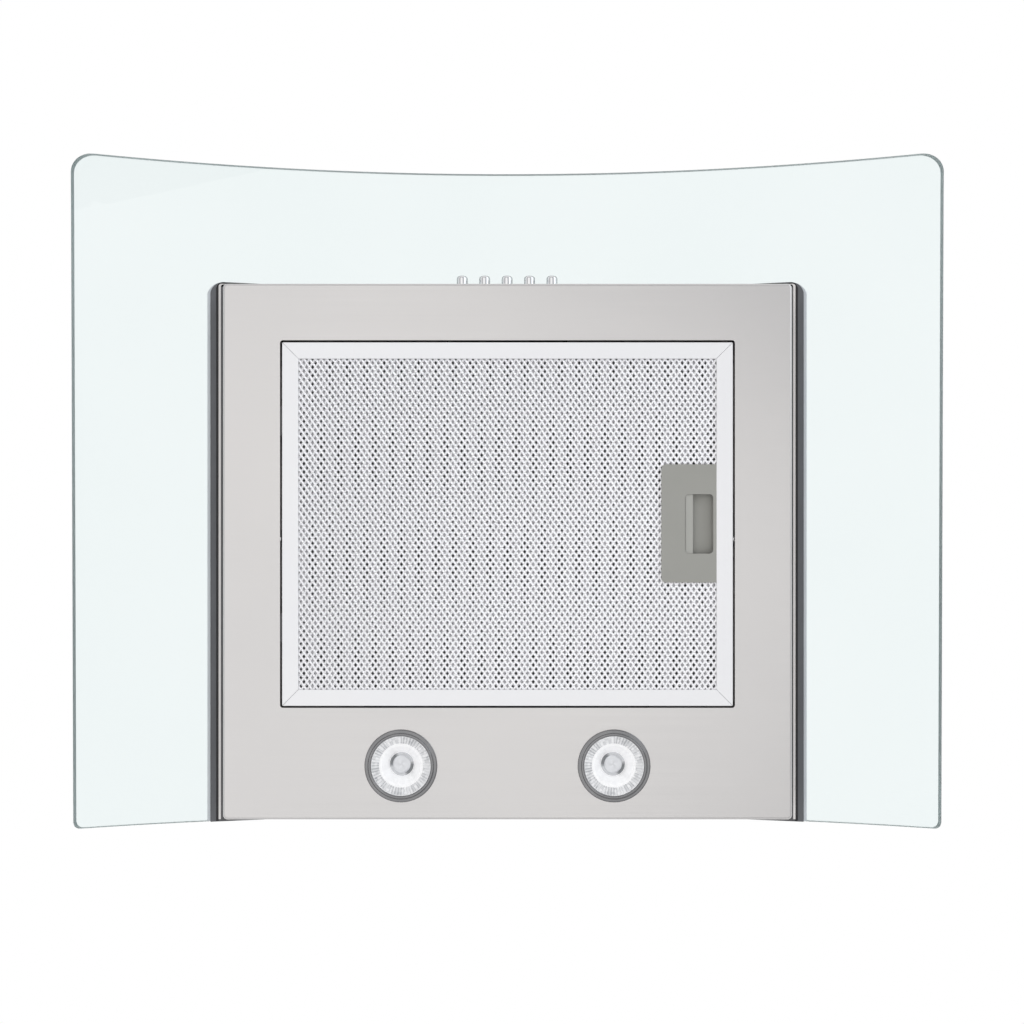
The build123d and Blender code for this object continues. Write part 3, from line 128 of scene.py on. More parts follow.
# Replaces an object's mesh by what its modifiers make of it
def bakeModifiers(obj):
    bpy.context.view_layer.update()
    graph = bpy.context.evaluated_depsgraph_get()
    result = bpy.data.meshes.new_from_object(obj.evaluated_get(graph), depsgraph=graph)
    old = obj.data
    obj.modifiers.clear()
    obj.data = result
    result.name = obj.name
    bpy.data.meshes.remove(old)


sharpEdge = 35  # degrees from which an edge is rounded


# Small round on every sharp edge, with flat faces kept flat in the shading
def softenEdges(obj, width, segments=2):
    shadeBySharpness(obj.data, sharpEdge)
    bevel = obj.modifiers.new("edges", "BEVEL")
    bevel.width = width * mm
    bevel.segments = segments
    bevel.limit_method = "ANGLE"
    bevel.angle_limit = math.radians(sharpEdge)
    bevel.use_clamp_overlap = True
    flat = obj.modifiers.new("flat", "WEIGHTED_NORMAL")
    flat.keep_sharp = True
    flat.weight = 60
    bakeModifiers(obj)


# Merged copy of a CAD node's mesh
def nodeCopy(node):
    obj = frame["nodes"][node].copy()
    obj.data = obj.data.copy()
    obj.name = node + "_shown"
    obj.parent = None
    for key in list(obj.keys()):
        del obj[key]
    scene.collection.objects.link(obj)
    obj.data.materials.clear()
    work = bmesh.new()
    work.from_mesh(obj.data)
    bmesh.ops.remove_doubles(work, verts=work.verts, dist=2e-6)
    work.to_mesh(obj.data)
    work.free()
    if obj.data.attributes.get("custom_normal"):
        obj.data.attributes.remove(obj.data.attributes["custom_normal"])
    return obj


bodyOf = {n: b for b, members in frame["record"]["behaviour"]["bodies"].items() for n in members}
slotOf = {s["node"]: s["material_slot"] for s in frame["record"]["subparts"]}


# Puts a finished piece on its body, in place of its CAD nodes
def place(obj, material, *nodes, body=None, slotName=None):
    obj.data.materials.clear()
    obj.data.materials.append(material)
    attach(obj, body or bodyOf[nodes[0]])
    if nodes:
        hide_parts(*nodes)


def newMaterial(name):
    material = bpy.data.materials.new(name)
    material.use_nodes = True
    tree = material.node_tree
    tree.nodes.clear()
    output = tree.nodes.new("ShaderNodeOutputMaterial")
    shader = tree.nodes.new("ShaderNodeBsdfPrincipled")
    tree.links.new(shader.outputs["BSDF"], output.inputs["Surface"])
    return material, tree, shader


def objectNoise(tree, scale, detail):
    source = tree.nodes.new("ShaderNodeTexCoord")
    stretch = tree.nodes.new("ShaderNodeMapping")
    stretch.inputs["Scale"].default_value = scale
    noise = tree.nodes.new("ShaderNodeTexNoise")
    noise.inputs["Scale"].default_value = 1.0
    noise.inputs["Detail"].default_value = detail
    noise.inputs["Roughness"].default_value = 0.55
    tree.links.new(source.outputs["Object"], stretch.inputs["Vector"])
    tree.links.new(stretch.outputs["Vector"], noise.inputs["Vector"])
    return noise.outputs["Fac"]


def ramp(tree, value, low, high, start=0.3, end=0.7):
    node = tree.nodes.new("ShaderNodeMapRange")
    node.inputs["From Min"].default_value = start
    node.inputs["From Max"].default_value = end
    node.inputs["To Min"].default_value = low
    node.inputs["To Max"].default_value = high
    tree.links.new(value, node.inputs["Value"])
    return node.outputs["Result"]


def mixColours(tree, factor, first, second):
    node = tree.nodes.new("ShaderNodeMix")
    node.data_type = "RGBA"
    node.inputs["A"].default_value = (*first, 1)
    node.inputs["B"].default_value = (*second, 1)
    tree.links.new(factor, node.inputs["Factor"])
    return node.outputs["Result"]


def addBump(tree, shader, height, depth):
    bump = tree.nodes.new("ShaderNodeBump")
    bump.inputs["Distance"].default_value = depth * mm
    bump.inputs["Strength"].default_value = 1.0
    tree.links.new(height, bump.inputs["Height"])
    tree.links.new(bump.outputs["Normal"], shader.inputs["Normal"])


# Base colour and roughness wander with a broad noise, and a fine grain gives the bump
def grainMaterial(name, look):
    material, tree, shader = newMaterial(name)
    broad = objectNoise(tree, look["patch"], 4.0)
    fine = objectNoise(tree, look["grain"], 3.0)
    light, dark = look["colours"]
    colour = mixColours(tree, ramp(tree, broad, 0, 1), light, dark)
    tree.links.new(colour, shader.inputs["Base Color"])
    smooth, rough = look["roughness"]
    tree.links.new(ramp(tree, fine, smooth, rough), shader.inputs["Roughness"])
    shader.inputs["Metallic"].default_value = look["metallic"]
    grazing = look.get("grazing", 1.0)
    shader.inputs["Specular Tint"].default_value = (grazing, grazing, grazing, 1)
    addBump(tree, shader, fine, look["depth"])
    return material


# Two colours, size of their patches and of the grain (1/m along X, Y, Z), roughness from and to,
# and the bump's depth in mm
finishes = {
    "satin_steel": {
        "colours": ((0.66, 0.645, 0.64), (0.62, 0.61, 0.61)),
        "patch": (3, 3, 3),
        "grain": (6, 1800, 1800),
        "roughness": (0.30, 0.42),
        "metallic": 1.0,
        "depth": 0.0015,
    },
    "zinc_steel": {
        "colours": ((0.58, 0.59, 0.61), (0.44, 0.46, 0.48)),
        "patch": (90, 90, 90),
        "grain": (500, 500, 500),
        "roughness": (0.32, 0.5),
        "metallic": 1.0,
        "depth": 0.004,
    },
    "bright_chrome": {
        "colours": ((0.80, 0.80, 0.81), (0.74, 0.75, 0.77)),
        "patch": (60, 60, 60),
        "grain": (300, 300, 300),
        "roughness": (0.05, 0.10),
        "metallic": 1.0,
        "depth": 0.0005,
        # kept low so that the chrome's rims go dark: painted shade
        "grazing": 0.05,  # share of light mirrored at a grazing angle
    },
    "filter_aluminium": {
        "colours": ((0.985, 0.985, 1.0), (0.965, 0.965, 0.99)),
        "patch": (12, 12, 12),
        "grain": (900, 900, 900),
        "roughness": (0.38, 0.5),
        "metallic": 0.15,
        "depth": 0.001,
    },
    "mesh_aluminium": {
        "colours": ((0.96, 0.955, 0.985), (0.90, 0.895, 0.925)),
        "patch": (160, 160, 160),
        "grain": (1500, 1500, 1500),
        "roughness": (0.2, 0.35),
        "metallic": 0.5,
        "depth": 0.002,
    },
    "filter_wool": {
        "colours": ((0.12, 0.12, 0.125), (0.035, 0.035, 0.037)),
        "patch": (400, 300, 400),
        "grain": (1400, 1100, 1400),
        "roughness": (0.45, 0.8),
        "metallic": 0.3,
        "depth": 0.25,
    },
    "grey_plastic": {
        "colours": ((0.393, 0.391, 0.364), (0.374, 0.373, 0.346)),
        "patch": (30, 30, 30),
        "grain": (2600, 2600, 2600),
        "roughness": (0.5, 0.62),
        "metallic": 0.0,
        "depth": 0.006,
    },
    "black_plastic": {
        "colours": ((0.032, 0.032, 0.034), (0.022, 0.022, 0.024)),
        "patch": (40, 40, 40),
        "grain": (1600, 1600, 1600),
        "roughness": (0.4, 0.55),
        "metallic": 0.0,
        "depth": 0.008,
    },
    "white_plastic": {
        "colours": ((0.78, 0.78, 0.75), (0.72, 0.72, 0.69)),
        "patch": (40, 40, 40),
        "grain": (1600, 1600, 1600),
        "roughness": (0.38, 0.5),
        "metallic": 0.0,
        "depth": 0.006,
    },
    "white_nylon": {
        "colours": ((0.80, 0.79, 0.74), (0.73, 0.72, 0.67)),
        "patch": (90, 90, 90),
        "grain": (1500, 1500, 1500),
        "roughness": (0.45, 0.6),
        "metallic": 0.0,
        "depth": 0.004,
    },
    "black_rubber": {
        "colours": ((0.150, 0.156, 0.168), (0.128, 0.134, 0.145)),
        "patch": (70, 20, 70),
        "grain": (900, 900, 900),
        "roughness": (0.5, 0.65),
        "metallic": 0.0,
        "depth": 0.01,
    },
    "motor_cast": {
        "colours": ((0.46, 0.47, 0.48), (0.36, 0.37, 0.39)),
        "patch": (120, 120, 120),
        "grain": (800, 800, 800),
        "roughness": (0.45, 0.65),
        "metallic": 0.85,
        "depth": 0.03,
    },
    "lamp_ring": {
        "colours": ((0.255, 0.255, 0.262), (0.21, 0.21, 0.217)),
        "patch": (60, 60, 60),
        "grain": (1200, 1200, 1200),
        "roughness": (0.16, 0.24),
        "metallic": 0.9,
        "depth": 0.001,
    },
}
materials = {name: grainMaterial(name, look) for name, look in finishes.items()}

# Finishes that differ from another one only in their colours
variants = {
    # second filter mesh: a darker copy of the mesh aluminium, painted shade for the layer that lies
    # in shadow behind the first
    "inner_mesh_painted_shade": ("mesh_aluminium", ((0.47, 0.47, 0.49), (0.36, 0.36, 0.38))),
    # painted shadow: near black for the shaded groove at the deck's edge
    "painted_shadow_black": ("black_rubber", ((0.016, 0.016, 0.018), (0.012, 0.012, 0.013))),
    # painted shade: dark grey for the flange's underside in the shade of the body's wall, and for
    # the filter tongues in the shaded gap
    "painted_shade_grey": ("black_rubber", ((0.11, 0.11, 0.115), (0.095, 0.095, 0.10))),
    # latch slide: a lighter copy of the grey plastic, painted light against the shade of its finger
    # pocket; it also takes painted shade at the bolt's nose
    "slide_grey_painted_light_and_shade": ("grey_plastic", ((0.475, 0.475, 0.445), (0.455, 0.455, 0.425))),
}
for name, (base, colours) in variants.items():
    materials[name] = grainMaterial(name, dict(finishes[base], colours=colours))

# Painted shade on the latch slide's bolt nose, where it stands in the gap beside the filter
boltShadeLook = {
    "shadeFrom": 150.0,  # place along X, in mm
    "fade": 0.2,
    "dark": (0.03, 0.03, 0.032),
}


# Painted shade: turns the colour dark past a place along X, so that the bolt's nose looks like the
# shaded gap beside the filter
def paintShadeBeyond(material, look):
    tree = material.node_tree
    colour = tree.nodes["Principled BSDF"].inputs["Base Color"]
    source = tree.nodes.new("ShaderNodeTexCoord")
    split = tree.nodes.new("ShaderNodeSeparateXYZ")
    tree.links.new(source.outputs["Object"], split.inputs["Vector"])
    start, end = look["shadeFrom"] * mm, (look["shadeFrom"] + look["fade"]) * mm
    beyond = ramp(tree, split.outputs["X"], 0, 1, start, end)
    mixed = mixColours(tree, beyond, look["dark"], look["dark"])
    tree.links.new(colour.links[0].from_socket, mixed.node.inputs["A"])
    tree.links.new(mixed, colour)


paintShadeBeyond(materials["slide_grey_painted_light_and_shade"], boltShadeLook)


# Clear glass: faint waviness, a tint that deepens with the way through it, and a ground edge
clearGlass = {
    "density": 25.0,
    "absorbed": (0.179, 0.593, 0.593),
    "wave": 0.002,  # bump depth in mm
    "waveScale": (9, 9, 9),
    "second": (0.985, 0.99, 0.99),  # colour that pure white wanders to
    "ior": 1.5,
    "rimRoughness": 0.42,
    "rimColour": (0.70, 0.74, 0.745),
    "rimClear": 0.12,
    "rimBelow": 0.97,  # cosine between a face's normal and the arch's radius under which it is rim
}


def glassMaterial(name, look):
    material, tree, shader = newMaterial(name)
    wave = objectNoise(tree, look["waveScale"], 1.0)
    rim = tree.nodes.new("ShaderNodeAttribute")
    rim.attribute_name = "rim"
    clear = mixColours(tree, ramp(tree, wave, 0, 1), (1, 1, 1), look["second"])
    ground = mixColours(tree, rim.outputs["Fac"], (1, 1, 1), look["rimColour"])
    tree.links.new(clear, ground.node.inputs["A"])
    tree.links.new(ground, shader.inputs["Base Color"])
    clearness = ramp(tree, rim.outputs["Fac"], 1, look["rimClear"], 0, 1)
    tree.links.new(clearness, shader.inputs["Transmission Weight"])
    shader.inputs["IOR"].default_value = look["ior"]
    rimRough = ramp(tree, rim.outputs["Fac"], 0, look["rimRoughness"], 0, 1)
    tree.links.new(rimRough, shader.inputs["Roughness"])
    addBump(tree, shader, wave, look["wave"])
    volume = tree.nodes.new("ShaderNodeVolumeAbsorption")
    volume.inputs["Color"].default_value = (*look["absorbed"], 1)
    volume.inputs["Density"].default_value = look["density"]
    tree.links.new(volume.outputs["Volume"], tree.nodes["Material Output"].inputs["Volume"])
    return material


# 1 on the faces that are not square to the arch, 0 on the two broad surfaces
def markRim(mesh, limit):
    count = len(mesh.polygons)
    normals, centres = np.empty(count * 3, np.float32), np.empty(count * 3, np.float32)
    mesh.polygons.foreach_get("normal", normals)
    mesh.polygons.foreach_get("center", centres)
    normals, centres = normals.reshape(-1, 3), centres.reshape(-1, 3)
    radial = centres * [1, 0, 1] - [0, 0, arch["centreZ"] * mm]
    radial /= np.linalg.norm(radial, axis=1, keepdims=True)
    square = np.abs((normals * radial).sum(1))
    layer = mesh.attributes.new("rim", "FLOAT", "FACE")
    layer.data.foreach_set("value", (square < limit).astype(np.float32))


materials["clear_glass"] = glassMaterial("clear_glass", clearGlass)

# Lamp lens and cap: pale, with painted reflection and painted shade that the piece carries as an
# attribute, and a faint painted glow
lensPaintedLight = {
    "pale": (0.99, 0.99, 1.0),
    "dark": (0.30, 0.31, 0.33),
    "paintedGlow": 0.16,
    "roughness": (0.05, 0.14),
}
capPaintedLight = {
    "pale": (0.86, 0.87, 0.90),
    "dark": (0.20, 0.21, 0.22),
    "paintedGlow": 0.05,
    "roughness": (0.12, 0.3),
}
speckleLook = {"grain": (700, 700, 700), "depth": 0.01}


def paintedLightMaterial(name, look):
    material, tree, shader = newMaterial(name)
    speckle = objectNoise(tree, speckleLook["grain"], 2.0)
    painted_reflection_and_shade = tree.nodes.new("ShaderNodeAttribute")
    painted_reflection_and_shade.attribute_name = "painted_reflection_and_shade"
    colour = mixColours(tree, painted_reflection_and_shade.outputs["Fac"], look["pale"], look["dark"])
    tree.links.new(colour, shader.inputs["Base Color"])
    tree.links.new(ramp(tree, speckle, *look["roughness"]), shader.inputs["Roughness"])
    # Painted glow: the colour also shines faintly as light of its own
    tree.links.new(colour, shader.inputs["Emission Color"])
    shader.inputs["Emission Strength"].default_value = look["paintedGlow"]
    addBump(tree, shader, speckle, speckleLook["depth"])
    return material


materials["lamp_lens"] = paintedLightMaterial("lamp_lens", lensPaintedLight)
materials["lamp_cap"] = paintedLightMaterial("lamp_cap", capPaintedLight)

# Pale bead of sealant between the gasket's edge and the glass
beadLook = {
    "colours": ((0.66, 0.70, 0.73), (0.58, 0.62, 0.66)),
    "patch": (60, 12, 60),
    "grain": (700, 700, 700),
    "roughness": (0.3, 0.45),
    "metallic": 0.0,
    "depth": 0.01,
}
materials["bead"] = grainMaterial("bead", beadLook)
print("materials made:", len(materials))


glassLook = {
    "half": 300.0,
    "rearHalf": 298.5,
    "depth": 466.0,
    "frontCorner": 14.0,
    "rearCorner": 4.5,
    "notchHalf": 117.0,
    "notchDepth": 238.0,
    "notchCorner": 10.0,
    "holeRadius": 5.0,
    "holeSegments": 40,
    "cutterReach": (-6, 12),  # heights over the glass's underside
    "arris": 0.8,
    "cornerSteps": 12,
    "sideSteps": [0.3, 0.75, 1.5, 2.6, 4.2, 6.0],
    "broadSteps": 23,
    "innerSteps": 13,
    "thinnest": 0.02,
    "clamps": [(s * 165.0, y) for s in (-1, 1) for y in (-350.0, -200.0, -40.0)],
}


# Height of a quarter circle of radius r at distance d from its end: r - sqrt(r^2 - (r - d)^2)
def cornerRise(distance, radius):
    inside = np.clip(radius - distance, 0, radius)
    return radius - np.sqrt(radius**2 - inside**2)


# Pane as two ruled surfaces P(x, y) on the arch, radii R and R + t, over yFront(x) < y < yRear(x)
def glassPane(look):
    half, notch, depth = look["half"], look["notchHalf"], look["depth"]
    quarter = 1 - np.cos(np.linspace(0, math.pi / 2, look["cornerSteps"]))
    sideSteps = half - np.concatenate([quarter * look["frontCorner"], look["sideSteps"]])
    notchSteps = notch - look["notchCorner"] * quarter
    broad = np.linspace(notch, half - look["frontCorner"], look["broadSteps"])
    inner = np.linspace(0, notch - look["notchCorner"], look["innerSteps"])
    columns = np.unique(np.round(np.concatenate([sideSteps, broad, inner, notchSteps]), 5))
    within, beyond = columns[columns <= notch], columns[columns >= notch]
    right = np.concatenate([within, beyond])  # the column at the notch's side is there twice
    outer = np.arange(len(right)) >= len(within)
    x = np.concatenate([-right[:0:-1], right])
    outer = np.concatenate([outer[:0:-1], outer])
    edge = half - np.abs(x)
    taper = half - look["rearHalf"]
    front = -depth + cornerRise(edge, look["frontCorner"])
    onSide = -depth + np.minimum(edge / taper, 1) * depth
    corner = cornerRise(np.clip(edge - taper, 0, None), look["rearCorner"])
    rear = np.where(edge < taper, onSide - look["rearCorner"], -corner)
    rear = np.maximum(rear, front + look["thinnest"])
    fromSide = np.clip(notch - np.abs(x), 0, None)
    notchY = -look["notchDepth"] + cornerRise(fromSide, look["notchCorner"])
    rear = np.where(outer, rear, notchY)
    plan = np.stack([np.stack([x, front], -1), np.stack([x, rear], -1)], 1)
    low, high = onArch(plan, 0.0), onArch(plan, arch["glassThick"])
    points = np.stack([low[:, 0], low[:, 1], high[:, 1], high[:, 0]], 1).reshape(-1, 3)
    faces = gridQuads(len(x), 4, closeColumns=True)
    faces += [[0, 1, 2, 3], [4 * len(x) - 4 + k for k in (3, 2, 1, 0)]]
    return meshObject("glass_canopy_pane", points, faces)


def cutHoles(obj, look):
    radius, (low, high) = look["holeRadius"], look["cutterReach"]
    outline = [(0, low), (radius, low), (radius, high), (0, high)]
    for x, y in look["clamps"]:
        cutter = lathe("cutter", outline, (0, 0, 0), look["holeSegments"])
        tilt = math.asin(x / arch["radius"])
        reach = arch["radius"] * mm
        spot = (reach * math.sin(tilt), y * mm, arch["centreZ"] * mm + reach * math.cos(tilt))
        cutter.data.transform(Matrix.Translation(spot) @ Matrix.Rotation(tilt, 4, "Y"))
        boolean = obj.modifiers.new("hole", "BOOLEAN")
        boolean.solver = "EXACT"
        boolean.object = cutter
        bakeModifiers(obj)
        bpy.data.objects.remove(cutter)
    return obj


pane = cutHoles(glassPane(glassLook), glassLook)
softenEdges(pane, glassLook["arris"], 3)
markRim(pane.data, clearGlass["rimBelow"])
place(pane, materials["clear_glass"], "glass_canopy")
print("glass:", len(pane.data.polygons), "faces")


sealLook = {
    "half": 209.6,
    "front": -382.0,
    "corner": 9.0,
}
sealRun = {
    "rear": -0.5,  # where the path starts and ends, just off the wall
    "sideSteps": 40,
    "frontSteps": 60,
    "cornerSteps": 14,
    "thinnest": 0.05,  # share of a strip's width that a fade leaves
}


# Plan path round the deck's left, front and right sides, with its outward normals
def sealPath(look):
    half, front, radius = look["half"], look["front"], look["corner"]
    turn = np.linspace(0, math.pi / 2, sealRun["cornerSteps"])
    sideY = np.linspace(sealRun["rear"], front + radius, sealRun["sideSteps"])
    left = np.stack([np.full_like(sideY, -half), sideY], -1)
    cornerX = -half + radius - radius * np.cos(turn)
    cornerL = np.stack([cornerX, front + radius - radius * np.sin(turn)], -1)
    midX = np.linspace(-half + radius, half - radius, sealRun["frontSteps"])
    mid = np.stack([midX, np.full_like(midX, front)], -1)
    path = np.concatenate([left[:-1], cornerL, mid[1:-1]])
    right = path[: len(left) - 1 + len(cornerL)][::-1] * [-1, 1]
    path = np.concatenate([path, right])
    along = np.gradient(path, axis=0)
    along /= np.linalg.norm(along, axis=1, keepdims=True)
    return path, np.stack([along[:, 1], -along[:, 0]], -1)


# Section carried along the path: P(s, k) = path(s) + outward_k thin(s) normal(s), put on the arch
# at height_k; thin(s) falls towards the front where a strip fades
def alongSeal(name, look, section, fade=None):
    path, normal = sealPath(look)
    section = np.asarray(section, float)
    thin = np.ones(len(path))
    if fade:
        thin = np.clip((path[:, 1] - look["front"]) / fade, sealRun["thinnest"], 1)
    plan = path[:, None, :] + normal[:, None, :] * section[None, :, :1] * thin[:, None, None]
    points = onArch(plan, np.broadcast_to(section[None, :, 1], plan.shape[:2]))
    count = len(section)
    faces = gridQuads(len(path), count, closeColumns=True)
    last = (len(path) - 1) * count
    faces += [list(range(count)), [last + k for k in reversed(range(count))]]
    return meshObject(name, points.reshape(-1, 3), faces)


# Outer edge in plan, and section as (outward, height over the glass's underside)
strips = {
    "seal_bead": {
        "finish": "bead",
        "edge": sealLook,
        "section": [(0.05, -1.6), (1.9, -1.5), (2.6, -0.08), (0.05, -0.08)],
        "round": 0.4,
        "fade": 8.0,  # length over which it thins out towards the front
    },
    # Dark grey strip under the deck's flange beside the body's wall: painted shade
    "deck_painted_shade_strip": {
        "finish": "painted_shade_grey",
        "edge": {"half": 202.2, "front": -379.9, "corner": 1.6},
        "section": [(-9.4, -3.22), (-9.4, -3.9), (0, -3.9), (0, -3.22)],
        "round": 0.12,
    },
    # Near-black strip round the deck's edge: painted shadow in the groove between the flange and
    # the gasket
    "deck_edge_painted_shadow": {
        "finish": "painted_shadow_black",
        "edge": {"half": 205.7, "front": -381.8, "corner": 5.0},
        "section": [(-1.78, -2.02), (-1.78, -3.1), (0, -2.6), (0, -2.02)],
        "round": 0.3,
    },
}
for name, strip in strips.items():
    outline = roundedOutline(strip["section"], strip["round"], 3)
    piece = alongSeal(name, strip["edge"], outline, strip.get("fade"))
    shadeBySharpness(piece.data, 50)
    place(piece, materials[strip["finish"]], body="hood", slotName="black_rubber")
seal = nodeCopy("glass_gasket")
softenEdges(seal, 0.3)
place(seal, materials["black_rubber"], "glass_gasket")
print("seal done")


meshLook = {
    "pitchX": 3.88,
    "pitchY": 2.84,
    "holeX": 1.17,  # half width and half height of a hole
    "holeY": 1.58,
    "thick": 0.5,
    "tilt": 0.26,
    "left": -144.2,
    "right": 144.2,
    "front": -324.2,
    "rear": -94.6,
    "low": -188.72,
}
backMeshLook = dict(meshLook, pitchX=5.74, pitchY=2.96, holeX=1.72, holeY=1.64)
backMeshLook.update(low=-187.7, tilt=0.2)
latchSpace = {"left": 105.9, "front": -247.9, "rear": -171.7}


# Expanded metal: a lattice of lozenges at ((i + (j mod 2)/2) p, j q), each a ring round a hole.
# The hole's front and rear corners lie at -tilt and +tilt in Z, so the strands are twisted.
def expandedMesh(name, look):
    columns = int(math.ceil((look["right"] - look["left"]) / look["pitchX"])) + 2
    rows = int(math.ceil((look["rear"] - look["front"]) / look["pitchY"])) + 1
    j, i = np.meshgrid(np.arange(rows), np.arange(columns), indexing="ij")
    k, m = (2 * i + j % 2).ravel(), (j + 1).ravel()
    originX = (look["left"] + look["right"]) / 2 - columns * look["pitchX"] / 2
    originY = look["front"]
    x, y = originX + k * look["pitchX"] / 2, originY + (m - 1) * look["pitchY"]
    inside = (x > look["left"]) & (x < look["right"]) & (y < look["rear"] + look["pitchY"])
    inLatch = (x > latchSpace["left"]) & (y > latchSpace["front"]) & (y < latchSpace["rear"])
    keep = inside & ~inLatch
    k, m, x, y = k[keep], m[keep], x[keep], y[keep]
    ring = np.array([(1, 0), (0, 1), (-1, 0), (0, -1)])
    latticeK, latticeM = k[:, None] + ring[:, 0], m[:, None] + ring[:, 1]
    stride = 10000  # more than there are rows, so that each key stands for one lattice point
    keys, index = np.unique(latticeK * stride + latticeM, return_inverse=True)
    index = index.reshape(latticeK.shape)
    lx = originX + (keys // stride) * look["pitchX"] / 2
    ly = originY + (keys % stride - 1) * look["pitchY"]
    hx = x[:, None] + ring[:, 0] * look["holeX"]
    hy = y[:, None] + ring[:, 1] * look["holeY"]
    hz = np.broadcast_to(ring[:, 1] * look["tilt"], hx.shape)
    flat = np.stack([np.concatenate([lx, hx.ravel()]), np.concatenate([ly, hy.ravel()])], -1)
    flat[:, 0] = np.clip(flat[:, 0], look["left"], look["right"])
    flat[:, 1] = np.clip(flat[:, 1], look["front"], look["rear"])
    z = np.concatenate([np.zeros(len(keys)), hz.ravel()])
    base = look["low"] + look["tilt"]
    lower = np.column_stack([flat, base + z])
    upper = np.column_stack([flat, base + look["thick"] + z])
    shift = len(flat)
    hole = len(keys) + np.arange(hx.size).reshape(hx.shape)
    nextIndex, nextHole = np.roll(index, -1, 1), np.roll(hole, -1, 1)
    under = np.stack([index, hole, nextHole, nextIndex], -1).reshape(-1, 4)
    over = np.stack([index, nextIndex, nextHole, hole], -1).reshape(-1, 4) + shift
    walls = np.stack([hole, hole + shift, nextHole + shift, nextHole], -1).reshape(-1, 4)
    edges = np.stack([index, nextIndex], -1).reshape(-1, 2)
    code = np.sort(edges, 1) @ np.array([len(keys) + 1, 1])
    values, first, uses = np.unique(code, return_index=True, return_counts=True)
    rim = edges[first[uses == 1]]
    rimWalls = np.stack([rim[:, 0], rim[:, 1], rim[:, 1] + shift, rim[:, 0] + shift], -1)
    faces = np.concatenate([under, over, walls, rimWalls]).tolist()
    return meshObject(name, np.concatenate([lower, upper]), faces)


woolLook = {
    "left": -144.0,
    "right": 144.0,
    "front": -324.0,
    "rear": -94.8,
    "low": -186.2,
    "top": -182.9,
    "roll": 0.22,  # height of its waves
    "columns": 150,
    "rows": 45,  # in front of, beside and behind the latch
    "latchGap": 1.0,
    "rowGap": 0.1,
}


# Pad of wound strand behind the mesh, narrower beside the latch:
# z(x, y) = low + roll sin(1.9 x + sin 0.7 y) sin(1.3 y + sin 0.5 x)
def woolPad(name, look):
    nx, gap, rowGap = look["columns"], look["latchGap"], look["rowGap"]
    latchFront, latchRear = latchSpace["front"] - gap, latchSpace["rear"] + gap
    spans = [
        (look["front"], latchFront),
        (latchFront + rowGap, latchRear - rowGap),
        (latchRear, look["rear"]),
    ]
    y = np.concatenate([np.linspace(start, end, look["rows"]) for start, end in spans])
    beside = (y > latchFront) & (y < latchRear)
    right = np.where(beside, latchSpace["left"] - gap, look["right"])
    xx = look["left"] + np.linspace(0, 1, nx)[:, None] * (right - look["left"])[None, :]
    yy = np.broadcast_to(y, xx.shape)
    wave = np.sin(xx * 1.9 + np.sin(yy * 0.7)) * np.sin(yy * 1.3 + np.sin(xx * 0.5))
    low = look["low"] + look["roll"] * wave
    top = np.full_like(xx, look["top"])
    sheets = [np.stack([xx, yy, z], -1).reshape(-1, 3) for z in (low, top)]
    faces = gridQuads(nx, len(y)) + gridQuads(nx, len(y), start=xx.size)
    ids = np.arange(xx.size).reshape(xx.shape)
    border = np.concatenate([ids[:, 0], ids[-1, 1:], ids[-2::-1, -1], ids[0, -2:0:-1]])
    ahead = np.roll(border, -1)
    faces += np.stack([border, ahead, ahead + xx.size, border + xx.size], -1).tolist()
    return meshObject(name, np.concatenate(sheets), faces)


frontMesh = expandedMesh("filter_mesh_front", meshLook)
place(frontMesh, materials["mesh_aluminium"], "filter_mesh_lower")
# The second mesh wears the darker copy of the aluminium: painted shade
backMesh = expandedMesh("filter_mesh_second", backMeshLook)
place(backMesh, materials["inner_mesh_painted_shade"], body="filter", slotName="mesh_aluminium")
wool = woolPad("filter_wool_pad", woolLook)
shadeBySharpness(wool.data, 60)
place(wool, materials["filter_wool"], "filter_wool")
print("filter mesh:", len(frontMesh.data.polygons), len(backMesh.data.polygons), "faces")


lampLook = {
    "x": 72.0,
    "y": -46.0,
    "panelZ": -190.0,
    "ring": 24.6,
    "lens": 20.1,
    "neck": 22.3,
    "facets": 56,
    "facetDepth": 0.5,
    "fineDepth": 0.15,
    "band": (14.6, 20.2),  # radii between which the lens is faceted
    "fineFrom": 8.6,  # radius from which finer facets fill the dish
    "floor": (8.4, 8.6),  # radius, height over the panel, of the dish's floor
    "bend": (13.0, 1.6),
    "rim": (0.8, -0.95),  # how far the lens runs under the ring, and its height there
    "bore": 6.0,
    "bulge": (0.5, 2.2),  # height and width of the swelling at the bend
    "cap": 8.1,
}


# A fixed number between 0 and 1 for every whole number: the fraction of 43758.5 sin(12.99 n + k)
def shuffled(number, k=0.0):
    return np.modf(np.abs(np.sin(number * 12.99 + k) * 43758.5))[0]


# Writes f(radius, angle) about an upright axis on every vertex as the attribute of painted
# reflection and shade
def addPaintedReflectionAndShade(obj, centre, formula):
    points = np.empty(len(obj.data.vertices) * 3, np.float32)
    obj.data.vertices.foreach_get("co", points)
    points = points.reshape(-1, 3) / mm
    dx, dy = points[:, 0] - centre[0], points[:, 1] - centre[1]
    value = formula(np.hypot(dx, dy), np.arctan2(dy, dx))
    layer = obj.data.attributes.new("painted_reflection_and_shade", "FLOAT", "POINT")
    layer.data.foreach_set("value", np.clip(value, 0, 1).astype(np.float32))


# Where an angle stands in its facet, 0 at one edge and 1 at the other, and the facet's number
def facetSpot(angle, count):
    turn = (angle / (2 * math.pi)) % 1.0 * count
    return turn % 1.0, np.floor(turn)


